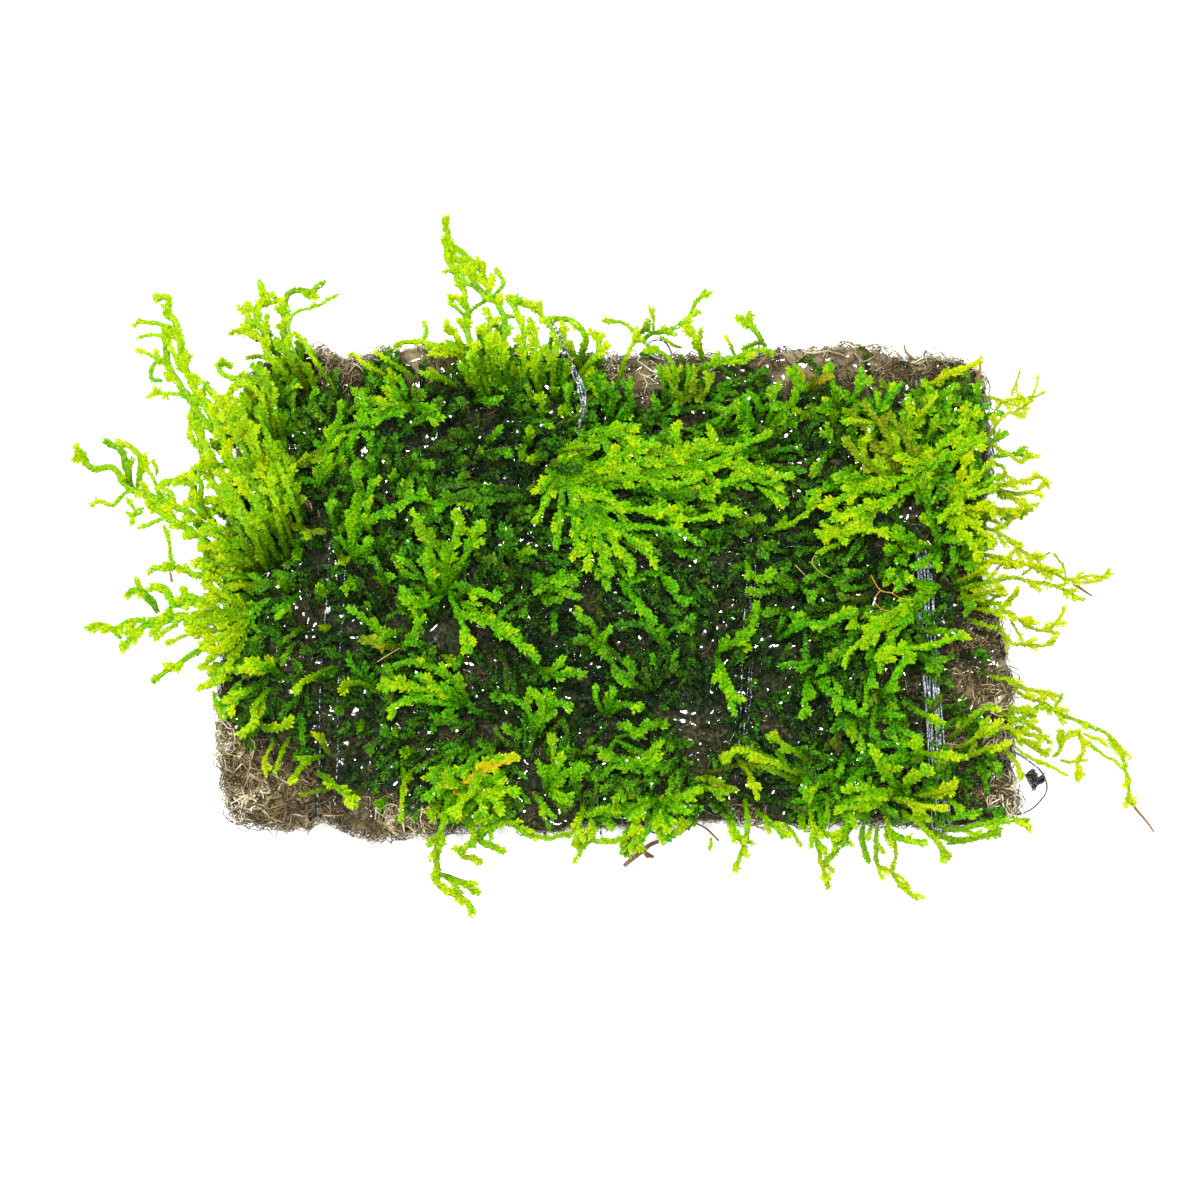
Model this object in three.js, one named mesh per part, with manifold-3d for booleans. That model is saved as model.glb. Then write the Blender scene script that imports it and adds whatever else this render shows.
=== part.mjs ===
// Flame moss grown on a fibre mat.
//
// A flat pad of coarse curled fibre is wound round with four bands of nylon line. Moss grows
// on its top as a bed of low clumps, pressed down where the line crosses, and leafy fronds
// lie over the bed, reach past the pad's edges and droop towards the surface it lies on.
//
// Millimetres, +Z up. The origin is the middle of the pad's flat underside, on the surface
// it rests on. Seen from above, +X is to the right and +Y towards the upper edge.
//
// Courses of stems are given in pixels of the photograph, which looks straight down on the
// pad. The function placed turns such a pixel into millimetres at the height of the thing.

import * as THREE from 'three';
import { mergeVertices } from 'three/addons/utils/BufferGeometryUtils.js';
import Module from 'manifold-3d';

const wasm = await Module();
wasm.setup();

// Driving dimensions, in millimetres unless a name says otherwise
const MAT_THICKNESS = 9;
const MAT_REACH = new THREE.Vector2(62, 38); // half of its length and width, where stems start to droop
const MAT_EDGE_ROUNDING = 1.5;
const CLEARANCE = 0.35; // between neighbouring pieces
const TABLE_HEIGHT = 1.35; // of the middle of a stem that lies on the table
const DROOP_SOFTNESS = 3.4; // a larger value makes a frond sink more slowly on its way out
const CREST_WAVE = 0.7; // how far fronds rise and dip along their length
const STEM_RADIUS = 0.85;
const TWIG_RADIUS = 0.45;
const STEM_STEP = 6.2;
const TWIG_STEP = 5.2;
const STEM_SIDES = 3;
const LOOSE_SIDES = 4; // of the twig and the thread
const TIP_LENGTH = 0.8; // of a stem's pointed end, in radii
const FOOT_LENGTH = 0.5; // of its other end
const FOOT_DEPTH = 1.5; // how deep a stem of the bed starts inside its clump, in radii
const MERGED = 0.6; // a side stem closer to another than this share of a step has joined it
const BED_RIM = 1; // height of a clump at its edge
const BED_SIDES = 12;
const BED_RINGS = [1, 0.8]; // where a clump's top has its edges, as shares of its width
const BED_SQUARENESS = 3.5; // 2 is an oval, more is closer to a box
const BED_LUMPS = 0.25; // share of its crown by which a clump's top is uneven
const BED_WAVE = 0.07; // share by which the clumps' outlines wander
const BED_LOBES = 5;
const TIE_DEPTH = 0.8;
const TIE_FLOOR = 0.2; // height of a tie's underside over the table
const TIE_CORNER = 1.2;
const LUMP_UNEVENNESS = 0.15;
const LUMP_WAVES = 9;

// How the photograph was taken
const MM_PER_PIXEL = 0.166; // at the pad's top
const EYE_HEIGHT = 600;
const PICTURE_CENTRE = [600, 600];
const MAT_CENTRE = [620, 590];

// The pad's outline in pixels, from its upper left corner round to the right
const MAT_OUTLINE = [
  [252, 372], [262, 362], [308, 346], [345, 363], [385, 352], [470, 352], [545, 350], [600, 357],
  [700, 358], [765, 355], [785, 349], [850, 345], [885, 352], [905, 364], [930, 358], [983, 370],
  [993, 440], [983, 560], [985, 600], [1003, 640], [1015, 705], [1009, 760], [1022, 812],
  [992, 822], [920, 826], [860, 822], [800, 826], [740, 818], [660, 826], [575, 828], [540, 835],
  [500, 820], [470, 830], [368, 838], [322, 817], [270, 827], [232, 817],
  [216, 715], [222, 650], [228, 540], [242, 415],
];

// Each tie crosses the pad from `top` to `bottom` (pixels) as a band `width` wide
const TIES = {
  tie_left: { top: [345, 362], bottom: [324, 817], width: 2.6 },
  tie_middle: { top: [572, 352], bottom: [600, 828], width: 1.2 },
  tie_right: { top: [765, 352], bottom: [738, 819], width: 1.8 },
  tie_right_end: { top: [905, 363], bottom: [940, 827], width: 2.8 },
};

// Each clump covers a box of the photograph, [left, top, right, bottom], and stands `crown` high over the
// pad. Its stems are courses of leafy stems that grow out of it and lie over it.
const MOSS_BED = {
  bed_left_back: {
    box: [244, 376, 328, 560], crown: 3.7,
    stems: [
      [[312, 484], [324, 460], [336, 428], [341, 402]],
      [[318, 448], [340, 430], [362, 423], [392, 412]],
      [[296, 470], [304, 440], [298, 415]],
    ],
  },
  bed_left_front: {
    box: [224, 570, 318, 738], crown: 3.5,
    stems: [
      [[300, 600], [278, 592], [258, 598]],
      [[255, 650], [280, 655], [306, 642]],
      [[262, 700], [285, 706], [304, 694]],
    ],
  },
  bed_middle_left_back: {
    box: [350, 384, 458, 548], crown: 3.2,
    stems: [
      [[352, 540], [362, 515], [362, 490], [355, 467]],
      [[362, 506], [400, 503], [418, 496], [445, 502]],
      [[440, 540], [425, 534], [413, 512]],
    ],
  },
  bed_middle_left_front: {
    box: [344, 560, 458, 818], crown: 3.6,
    stems: [
      [[445, 608], [430, 590], [424, 560], [432, 540]],
      [[434, 614], [446, 575], [452, 540], [458, 516]],
      [[395, 640], [413, 636], [416, 614], [403, 590]],
      [[440, 672], [425, 665], [396, 665]],
      [[440, 705], [412, 700], [386, 690]],
      [[378, 630], [365, 618], [350, 609]],
    ],
  },
  bed_middle_back: {
    box: [466, 368, 572, 580], crown: 3.6,
    stems: [
      [[480, 495], [500, 496], [528, 490]],
      [[505, 455], [512, 425], [500, 400]],
      [[466, 560], [474, 540], [478, 525]],
    ],
  },
  bed_middle_front: {
    box: [466, 592, 590, 816], crown: 3.5,
    stems: [
      [[466, 608], [469, 630], [480, 655]],
      [[478, 612], [505, 632], [537, 658]],
      [[538, 762], [547, 782], [568, 780]],
      [[510, 758], [485, 765], [462, 782]],
      [[494, 765], [500, 782], [497, 798]],
    ],
  },
  bed_centre_back: {
    box: [594, 370, 742, 556], crown: 3.7,
    stems: [
      [[600, 478], [600, 450], [618, 430], [640, 426]],
      [[612, 450], [640, 438], [672, 460], [705, 447], [737, 452]],
      [[612, 520], [640, 508], [665, 513], [700, 517], [737, 511]],
      [[630, 410], [630, 395], [623, 380]],
    ],
  },
  bed_centre_front: {
    box: [604, 568, 730, 818], crown: 3.5,
    stems: [
      [[628, 626], [650, 630], [668, 658], [655, 685]],
      [[645, 604], [665, 592], [700, 600]],
      [[720, 652], [722, 682], [734, 710]],
      [[712, 785], [690, 770], [665, 780]],
    ],
  },
  bed_right_back: {
    box: [768, 370, 912, 590], crown: 3.5,
    stems: [
      [[776, 425], [778, 402], [773, 385]],
      [[836, 402], [832, 380], [829, 364]],
      [[838, 505], [860, 492], [895, 485], [920, 478]],
      [[832, 526], [855, 529], [885, 530]],
      [[790, 526], [808, 515], [814, 499]],
    ],
  },
  bed_right_front: {
    box: [754, 602, 918, 816], crown: 3.4,
    stems: [
      [[785, 634], [805, 622], [840, 618], [853, 613]],
      [[835, 690], [850, 705], [864, 716]],
      [[775, 757], [795, 766], [818, 778]],
      [[860, 758], [884, 745], [905, 757]],
    ],
  },
  bed_right_end: {
    box: [940, 395, 984, 580], crown: 3.4,
    stems: [
      [[950, 446], [960, 432], [969, 420]],
      [[952, 548], [962, 530], [978, 518]],
    ],
  },
  bed_right_end_front: {
    box: [958, 592, 1004, 806], crown: 3,
    stems: [
      [[972, 630], [976, 645], [988, 655]],
      [[975, 757], [984, 748], [998, 744]],
    ],
  },
};

// Each frond is a spray of leafy stems and thinner twigs. Its crest is its height over the pad, and it
// has sunk halfway to the table at `hang` past the pad's edge.
const FRONDS = {
  frond_left_tall: {
    crest: 18, hang: 8.5,
    stems: [
      [[157, 298], [170, 297], [167, 314], [180, 326], [182, 352], [189, 378], [205, 400], [228, 428],
        [252, 465], [268, 490], [275, 520]],
      [[165, 328], [167, 352], [172, 372], [190, 398], [210, 428], [232, 462], [250, 500]],
      [[200, 400], [222, 432], [245, 478], [262, 525], [272, 556]],
      [[195, 420], [208, 448], [226, 480], [246, 524], [262, 566]],
    ],
    twigs: [
      [[136, 324], [150, 322], [176, 328]],
      [[139, 338], [160, 335], [180, 340]],
      [[139, 351], [156, 358], [168, 368]],
      [[163, 360], [151, 368], [153, 380], [164, 382]],
      [[148, 397], [164, 394], [188, 400]],
    ],
  },
  frond_left_shoulder: {
    crest: 20, hang: 7,
    stems: [
      [[227, 363], [217, 368], [230, 377], [250, 383], [264, 410], [275, 450]],
      [[226, 400], [243, 385], [262, 402], [258, 424], [268, 446]],
    ],
    twigs: [],
  },
  frond_top_left: {
    crest: 17.6, hang: 8,
    stems: [
      [[248, 306], [247, 322], [262, 345], [285, 375], [296, 398]],
      [[260, 284], [263, 300], [256, 320], [270, 345], [290, 370]],
      [[322, 284], [310, 292], [293, 290], [284, 305], [284, 328], [293, 358], [305, 392]],
    ],
    twigs: [
      [[263, 291], [270, 296], [278, 300]],
      [[262, 306], [280, 300], [288, 297]],
      [[230, 334], [243, 330], [257, 341]],
      [[247, 358], [260, 356], [274, 364]],
    ],
  },
  frond_top_left_hook: {
    crest: 19, hang: 9.5,
    stems: [
      [[337, 295], [322, 304], [302, 310], [293, 322], [298, 338], [312, 355], [328, 378], [336, 394]],
    ],
    twigs: [],
  },
  frond_top_edge: {
    crest: 16.6, hang: 6,
    stems: [
      [[394, 348], [410, 343], [430, 345], [450, 351], [470, 357], [484, 372]],
      [[422, 373], [440, 380], [460, 388]],
      [[375, 352], [390, 360], [406, 373], [414, 384], [428, 377]],
    ],
    twigs: [
      [[424, 323], [426, 332], [422, 344]],
      [[349, 355], [362, 360], [378, 370], [394, 381]],
    ],
  },
  frond_peak_left: {
    crest: 18, hang: 9,
    stems: [
      [[445, 219], [448, 238], [446, 256], [458, 282], [465, 305], [471, 335], [482, 372], [490, 396]],
      [[447, 323], [456, 333], [467, 349], [480, 362]],
      [[453, 299], [456, 308], [468, 320]],
    ],
    twigs: [
      [[462, 270], [463, 280], [460, 288]],
    ],
  },
  frond_peak_right: {
    crest: 20.5, hang: 9,
    stems: [
      [[449, 243], [460, 252], [475, 263], [484, 278], [490, 296], [502, 310], [504, 335], [503, 362],
        [512, 392]],
      [[496, 270], [504, 280], [500, 291], [490, 298]],
      [[484, 331], [490, 343], [500, 358]],
    ],
    twigs: [
      [[464, 314], [476, 307], [492, 298]],
    ],
  },
  frond_arch: {
    crest: 17.6, hang: 8,
    stems: [
      [[511, 300], [519, 316], [525, 345], [528, 385], [534, 405]],
      [[513, 302], [530, 306], [546, 318], [556, 335], [553, 362], [548, 392]],
      [[553, 319], [570, 320], [584, 333], [583, 352], [572, 378], [552, 390]],
    ],
    twigs: [
      [[505, 315], [512, 317], [520, 316]],
    ],
  },
  frond_top_middle: {
    crest: 16.6, hang: 7,
    stems: [
      [[605, 321], [620, 323], [634, 335], [648, 347], [665, 358], [672, 378], [670, 402]],
      [[597, 336], [598, 350], [585, 370], [590, 390], [604, 400], [614, 385], [602, 372], [606, 352],
        [626, 330]],
    ],
    twigs: [],
  },
  frond_antler: {
    crest: 18.5, hang: 8,
    stems: [
      [[705, 291], [693, 307], [687, 321], [668, 334], [652, 336], [637, 343], [625, 360], [620, 385]],
      [[687, 321], [696, 335], [703, 352], [706, 366]],
      [[660, 337], [676, 345], [684, 352]],
    ],
    twigs: [
      [[653, 309], [654, 318], [652, 333]],
    ],
  },
  frond_top_right: {
    crest: 17.2, hang: 6,
    stems: [
      [[770, 353], [750, 350], [730, 356], [705, 366], [690, 376]],
      [[738, 317], [751, 324], [762, 338], [767, 350]],
      [[725, 337], [730, 347], [736, 355]],
    ],
    twigs: [],
  },
  frond_top_right_corner: {
    crest: 16.6, hang: 6,
    stems: [
      [[980, 363], [962, 370], [938, 380], [920, 388]],
      [[935, 396], [925, 412], [900, 438]],
    ],
    twigs: [],
  },
  frond_right_thin: {
    crest: 17.2, hang: 7,
    stems: [
      [[975, 398], [992, 396], [1015, 400], [1033, 398], [1044, 392]],
      [[1032, 400], [1015, 412], [998, 421], [995, 440], [1010, 452], [1031, 456]],
    ],
    twigs: [
      [[1011, 398], [1017, 383], [1023, 368]],
      [[1034, 398], [1037, 387], [1038, 376]],
    ],
  },
  frond_right_knobs: {
    crest: 19, hang: 8,
    stems: [
      [[975, 492], [1000, 485], [1020, 483], [1038, 477], [1046, 480]],
      [[1003, 487], [1015, 501], [1031, 510]],
      [[980, 520], [1000, 512], [1020, 509]],
      [[995, 458], [1006, 472], [1002, 485]],
      [[1012, 489], [1028, 493], [1044, 483]],
    ],
    twigs: [],
  },
  frond_right_long: {
    crest: 18, hang: 8,
    stems: [
      [[972, 520], [985, 525], [1008, 540], [1026, 555], [1052, 574], [1082, 578], [1100, 579], [1111, 574]],
      [[965, 552], [1000, 557], [1030, 564], [1050, 574]],
      [[960, 564], [980, 563], [1000, 560]],
    ],
    twigs: [
      [[1034, 563], [1042, 556], [1054, 554], [1064, 566], [1066, 578]],
      [[1074, 579], [1083, 590], [1092, 596]],
    ],
  },
  frond_right_reach: {
    crest: 19.5, hang: 6,
    stems: [
      [[955, 592], [972, 586], [998, 579], [1020, 575], [1040, 581], [1060, 585], [1075, 595], [1083, 599]],
    ],
    twigs: [],
  },
  frond_right_curve: {
    crest: 18, hang: 7,
    stems: [
      [[962, 606], [975, 610], [1003, 613], [1020, 620], [1036, 631], [1052, 629], [1063, 616], [1064, 608]],
      [[998, 617], [1008, 638], [1025, 643], [1053, 643]],
      [[1003, 611], [1012, 600], [1018, 589]],
    ],
    twigs: [
      [[980, 608], [992, 602], [1006, 595]],
    ],
  },
  frond_right_low: {
    crest: 18.5, hang: 5,
    stems: [
      [[990, 676], [1008, 680], [1025, 690], [1045, 692], [1056, 695]],
      [[1014, 687], [1025, 698], [1040, 701]],
    ],
    twigs: [],
  },
  frond_right_trail: {
    crest: 18, hang: 6,
    stems: [
      [[960, 750], [980, 736], [1005, 727], [1022, 729], [1035, 712], [1042, 704], [1060, 716], [1080, 725],
        [1100, 735], [1115, 747], [1124, 772], [1128, 798], [1141, 815], [1154, 832]],
      [[1077, 779], [1080, 760], [1083, 743], [1076, 728], [1064, 738], [1052, 757]],
      [[1022, 730], [1038, 747], [1060, 770]],
      [[1016, 730], [1014, 748], [1021, 776]],
    ],
    twigs: [
      [[1054, 710], [1060, 700], [1062, 693]],
      [[1083, 742], [1095, 749], [1105, 757], [1120, 766]],
    ],
  },
  frond_bottom_right: {
    crest: 18, hang: 7,
    stems: [
      [[1027, 820], [1008, 820], [988, 824], [968, 828], [945, 828], [928, 812], [905, 803]],
      [[979, 833], [965, 841], [948, 846], [935, 838], [915, 820], [900, 806]],
      [[955, 787], [938, 795], [912, 800]],
    ],
    twigs: [],
  },
  frond_bottom_loop: {
    crest: 18.5, hang: 5,
    stems: [
      [[917, 899], [900, 885], [893, 872], [879, 864], [876, 848], [881, 828], [884, 800], [890, 780]],
      [[895, 872], [896, 852], [890, 832], [884, 812]],
      [[923, 843], [905, 839], [890, 828]],
    ],
    twigs: [],
  },
  frond_bottom_spike: {
    crest: 18, hang: 6,
    stems: [
      [[828, 886], [823, 868], [818, 845], [812, 825], [808, 800], [815, 780]],
      [[855, 824], [845, 840], [832, 856], [826, 864]],
    ],
    twigs: [],
  },
  frond_bottom_middle: {
    crest: 18, hang: 5,
    stems: [
      [[735, 868], [742, 848], [747, 828], [748, 810], [742, 790]],
      [[712, 808], [726, 818], [736, 832], [742, 844]],
      [[783, 835], [770, 822], [752, 808]],
    ],
    twigs: [],
  },
  frond_bottom_centre: {
    crest: 18, hang: 5.5,
    stems: [
      [[620, 858], [612, 841], [594, 836], [590, 812], [584, 795]],
      [[576, 848], [580, 826], [585, 806]],
      [[637, 848], [636, 835], [632, 815], [615, 800], [590, 800]],
      [[688, 822], [672, 834], [655, 826], [634, 820]],
    ],
    twigs: [],
  },
  frond_bottom_left: {
    crest: 18, hang: 5,
    stems: [
      [[473, 910], [464, 898], [445, 887], [437, 870], [438, 850], [444, 825], [448, 798], [458, 780]],
      [[478, 893], [462, 884], [440, 873]],
      [[479, 862], [461, 850], [474, 838], [470, 818], [462, 796]],
      [[504, 851], [490, 845], [476, 839]],
    ],
    twigs: [],
  },
  frond_bottom_arch: {
    crest: 16.4, hang: 5.5,
    stems: [
      [[486, 812], [500, 818], [520, 828], [540, 837], [560, 835], [578, 829]],
      [[492, 840], [488, 824], [490, 808]],
    ],
    twigs: [],
  },
  frond_left_reach: {
    crest: 18, hang: 9,
    stems: [
      [[75, 459], [84, 455], [95, 469], [113, 468], [124, 484], [140, 491], [165, 503], [195, 518],
        [225, 540], [250, 560]],
      [[107, 442], [121, 451], [127, 470], [133, 488]],
      [[120, 444], [134, 450], [140, 466], [136, 488]],
      [[143, 462], [154, 478], [163, 500]],
      [[92, 504], [105, 503], [118, 499], [130, 489]],
    ],
    twigs: [
      [[127, 500], [133, 507], [143, 512], [152, 500]],
      [[140, 527], [155, 522], [168, 507]],
      [[175, 566], [170, 547], [166, 528], [170, 510]],
    ],
  },
  frond_left_crown: {
    crest: 20, hang: 10,
    stems: [
      [[158, 486], [175, 480], [190, 484], [197, 500], [215, 520], [240, 545]],
      [[235, 465], [212, 464], [196, 470], [190, 484]],
      [[199, 478], [203, 492], [202, 506]],
    ],
    twigs: [],
  },
  frond_left_arm: {
    crest: 18, hang: 6.5,
    stems: [
      [[151, 570], [166, 569], [183, 569], [202, 573], [228, 576], [250, 578]],
      [[212, 557], [217, 566], [226, 575]],
      [[207, 603], [222, 594], [240, 586], [248, 579]],
    ],
    twigs: [
      [[170, 583], [171, 577], [174, 569]],
    ],
  },
  frond_left_low: {
    crest: 16.6, hang: 7.5,
    stems: [
      [[89, 628], [100, 624], [112, 628], [128, 620], [158, 616], [185, 612], [215, 612], [250, 606]],
      [[122, 646], [138, 634], [156, 625], [178, 614]],
      [[129, 593], [143, 592], [154, 604], [162, 614]],
      [[151, 588], [165, 588], [183, 606], [196, 612]],
      [[154, 680], [178, 664], [200, 650], [222, 640], [240, 626]],
    ],
    twigs: [
      [[167, 643], [180, 637], [196, 628], [212, 616]],
    ],
  },
  frond_left_bottom: {
    crest: 17.6, hang: 5,
    stems: [
      [[200, 688], [218, 683], [240, 675], [262, 672]],
      [[222, 717], [214, 703], [213, 690]],
      [[225, 715], [238, 697], [256, 685]],
      [[241, 734], [254, 722], [253, 706], [265, 692]],
      [[290, 720], [272, 730], [257, 722]],
    ],
    twigs: [],
  },
  frond_front_prongs: {
    crest: 18, hang: 5,
    stems: [
      [[266, 774], [265, 758], [272, 738], [284, 724]],
      [[275, 772], [280, 752], [288, 738], [288, 727]],
      [[310, 775], [320, 757], [316, 735], [300, 724]],
      [[355, 805], [336, 788], [318, 778]],
    ],
    twigs: [],
  },
};

// Loose things beside the pad, lying on the table
const DEAD_TWIG = {
  radius: 0.5,
  height: 0.6,
  courses: [
    [[624, 866], [640, 853], [658, 842], [676, 836]],
    [[650, 860], [645, 853], [642, 847]],
    [[658, 856], [652, 851], [650, 845]],
  ],
};
const THREAD_END = {
  radius: 0.28,
  height: 0.45,
  course: [[1016, 749], [1030, 762], [1044, 776], [1047, 785], [1040, 801], [1026, 812]],
};
const FIBRE_LUMP = { at: [1033, 779], radius: 1.7, height: 2.2 };

const COLOURS = {
  fibre: 0x6b5636, line: 0x2c3038, leaf: 0x5f9e12, deepLeaf: 0x2f5a0c, twig: 0x8a5a28,
};

/** Turns a pixel of the photograph into the place, in millimetres, of a thing at height z. */
function placed([px, py], z) {
  const scale = MM_PER_PIXEL * (EYE_HEIGHT - z) / (EYE_HEIGHT - MAT_THICKNESS);
  const eyeX = (PICTURE_CENTRE[0] - MAT_CENTRE[0]) * MM_PER_PIXEL;
  const eyeY = (MAT_CENTRE[1] - PICTURE_CENTRE[1]) * MM_PER_PIXEL;
  return new THREE.Vector3(
    eyeX + (px - PICTURE_CENTRE[0]) * scale,
    eyeY + (PICTURE_CENTRE[1] - py) * scale,
    z,
  );
}

/** How far a place lies outside the pad, in millimetres, and less than zero over it. */
function outside(point) {
  const dx = Math.abs(point.x) - MAT_REACH.x;
  const dy = Math.abs(point.y) - MAT_REACH.y;
  return Math.hypot(Math.max(dx, 0), Math.max(dy, 0)) + Math.min(Math.max(dx, dy), 0);
}

/** A slow lumpy wave between -1 and 1, for surfaces that grew or were pressed. */
function lumps(x, y) {
  const along = Math.sin(x * 0.55 + 1.3 * Math.sin(y * 0.31));
  const across = Math.sin(y * 0.62 + 1.7 * Math.sin(x * 0.23));
  return (along + across) / 2;
}

/** Makes a closed mesh a solid that can be joined and cut. */
function solidOf(geometry) {
  const plain = geometry.clone();
  plain.deleteAttribute('normal');
  plain.deleteAttribute('uv');
  const merged = mergeVertices(plain, 1e-4);
  return new wasm.Manifold(new wasm.Mesh({
    numProp: 3,
    vertProperties: new Float32Array(merged.attributes.position.array),
    triVerts: new Uint32Array(merged.index.array),
  }));
}

/** Makes a solid a mesh again. */
function geometryOf(solid) {
  const { vertProperties, triVerts } = solid.getMesh();
  const geometry = new THREE.BufferGeometry();
  geometry.setAttribute('position', new THREE.BufferAttribute(vertProperties, 3));
  geometry.setIndex(new THREE.BufferAttribute(triVerts, 1));
  geometry.computeVertexNormals();
  return geometry;
}

/** The largest of the bodies that a cut leaves. */
function largestBody(solid) {
  return solid.decompose().reduce((best, body) => (body.volume() > best.volume() ? body : best));
}

/** A closed round-ended stem along a list of points, thickest at its foot, the last point. */
function stemAlong(points, radius, sides) {
  const positions = [];
  const index = [];
  const up = new THREE.Vector3(0, 0, 1);
  const count = points.length;
  const heading = new THREE.Vector3();
  points.forEach((point, i) => {
    heading.subVectors(points[Math.min(i + 1, count - 1)], points[Math.max(i - 1, 0)]).normalize();
    const across = new THREE.Vector3().crossVectors(up, heading).normalize();
    const over = new THREE.Vector3().crossVectors(heading, across);
    for (let side = 0; side < sides; side += 1) {
      const angle = (side + 0.5) * 2 * Math.PI / sides;
      const corner = point.clone()
        .addScaledVector(across, radius * Math.cos(angle))
        .addScaledVector(over, radius * Math.sin(angle));
      positions.push(...corner);
    }
  });
  const tipHeading = new THREE.Vector3().subVectors(points[0], points[1]).normalize();
  const footHeading = new THREE.Vector3().subVectors(points[count - 1], points[count - 2]).normalize();
  positions.push(...points[0].clone().addScaledVector(tipHeading, radius * TIP_LENGTH));
  positions.push(...points[count - 1].clone().addScaledVector(footHeading, radius * FOOT_LENGTH));
  const tip = count * sides;
  const foot = tip + 1;
  for (let side = 0; side < sides; side += 1) {
    const next = (side + 1) % sides;
    index.push(tip, next, side);
    index.push(foot, (count - 1) * sides + side, (count - 1) * sides + next);
    for (let i = 0; i < count - 1; i += 1) {
      const here = i * sides;
      const there = here + sides;
      index.push(here + side, here + next, there + next, here + side, there + next, there + side);
    }
  }
  const geometry = new THREE.BufferGeometry();
  geometry.setAttribute('position', new THREE.Float32BufferAttribute(positions, 3));
  geometry.setIndex(index);
  return geometry;
}

/** Even steps along a smooth line through hand-placed points. */
function smoothed(points, step) {
  const curve = new THREE.CatmullRomCurve3(points, false, 'centripetal');
  return curve.getSpacedPoints(Math.max(2, Math.round(curve.getLength() / step)));
}

/** The course of one stem in space, its heights given by a function of its place in plan. */
function courseOf(pixels, heightAt, step) {
  const points = pixels.map((pixel) => placed(pixel, heightAt(placed(pixel, MAT_THICKNESS))));
  return smoothed(points, step);
}

/** The nearest of the points to a place. */
function nearest(points, place) {
  return points.reduce((best, point) => (
    point.distanceToSquared(place) < best.distanceToSquared(place) ? point : best));
}

/** A side stem without the stretch that only runs along the stems it grows from. */
function trimmed(course, grown, reach) {
  const free = course.map((point) => nearest(grown, point).distanceTo(point) > reach);
  const lastFree = free.lastIndexOf(true);
  return course.slice(0, Math.max(lastFree + 1, 2));
}

/** Joins stems into one spray, each new stem growing from the ones before it. `room` fattens them all. */
function spray(stems, twigs, heightAt, room) {
  const grown = [];
  let whole = null;
  const grow = (pixels, radius, step) => {
    let course = courseOf(pixels, heightAt, step);
    if (whole) {
      const fromFirst = nearest(grown, course[0]).distanceTo(course[0]);
      const fromLast = nearest(grown, course[course.length - 1]).distanceTo(course[course.length - 1]);
      if (fromFirst < fromLast) {
        course.reverse();
      }
      course = trimmed(course, grown, step * MERGED);
      course.push(nearest(grown, course[course.length - 1]).clone());
    } else if (outside(course[0]) < outside(course[course.length - 1])) {
      course.reverse();
    }
    const stem = solidOf(stemAlong(course, radius + room, STEM_SIDES));
    whole = whole ? whole.add(stem) : stem;
    grown.push(...course);
  };
  stems.forEach((pixels) => grow(pixels, STEM_RADIUS, STEM_STEP));
  twigs.forEach((pixels) => grow(pixels, TWIG_RADIUS, TWIG_STEP));
  return whole;
}

/** One frond, with `room` round it. */
function frond({ crest, hang, stems, twigs }, room) {
  const heightAt = (place) => {
    const held = 1 / (1 + Math.exp((outside(place) - hang) / DROOP_SOFTNESS));
    return TABLE_HEIGHT + (crest - TABLE_HEIGHT + CREST_WAVE * lumps(place.y, place.x)) * held;
  };
  return spray(stems, twigs, heightAt, room);
}

/** The fibre pad: a slab of the outline with rounded edges, flat underneath. */
function fibreMat() {
  const outline = new THREE.Shape(MAT_OUTLINE.map((pixel) => {
    const { x, y } = placed(pixel, MAT_THICKNESS);
    return new THREE.Vector2(x, y);
  }));
  const slab = new THREE.ExtrudeGeometry(outline, {
    depth: MAT_THICKNESS - 2 * MAT_EDGE_ROUNDING,
    bevelThickness: MAT_EDGE_ROUNDING,
    bevelSize: MAT_EDGE_ROUNDING,
    bevelOffset: -MAT_EDGE_ROUNDING,
    bevelSegments: 1,
  });
  slab.translate(0, 0, MAT_EDGE_ROUNDING);
  return solidOf(slab);
}

/** A flat frame with rounded corners that goes right round the pad, `room` bigger all over. */
function tie({ top, bottom, width }, room) {
  const from = placed(bottom, MAT_THICKNESS);
  const to = placed(top, MAT_THICKNESS);
  const middle = new THREE.Vector3().addVectors(from, to).multiplyScalar(0.5);
  const half = from.distanceTo(to) / 2;
  const frame = (grow) => {
    const reach = half + grow;
    const low = TIE_FLOOR + TIE_DEPTH - grow;
    const high = MAT_THICKNESS - TIE_DEPTH / 2 + grow;
    const round = TIE_CORNER + grow;
    const outline = new THREE.Shape();
    outline.moveTo(-reach + round, low);
    outline.lineTo(reach - round, low);
    outline.lineTo(reach, low + round);
    outline.lineTo(reach, high - round);
    outline.lineTo(reach - round, high);
    outline.lineTo(-reach + round, high);
    outline.lineTo(-reach, high - round);
    outline.lineTo(-reach, low + round);
    outline.closePath();
    return outline;
  };
  const outline = frame(TIE_DEPTH + room);
  outline.holes.push(frame(-room));
  const band = new THREE.ExtrudeGeometry(outline, { depth: width + 2 * room, bevelEnabled: false });
  band.translate(0, 0, -width / 2 - room);
  band.rotateX(Math.PI / 2);
  band.rotateZ(Math.atan2(to.y - from.y, to.x - from.x));
  band.translate(middle.x, middle.y, 0);
  return solidOf(band);
}

/** Distance from the middle in a shape between an oval and a box, 1 at its edge. */
function squareRadius(dx, dy) {
  return (Math.abs(dx) ** BED_SQUARENESS + Math.abs(dy) ** BED_SQUARENESS) ** (1 / BED_SQUARENESS);
}

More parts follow.
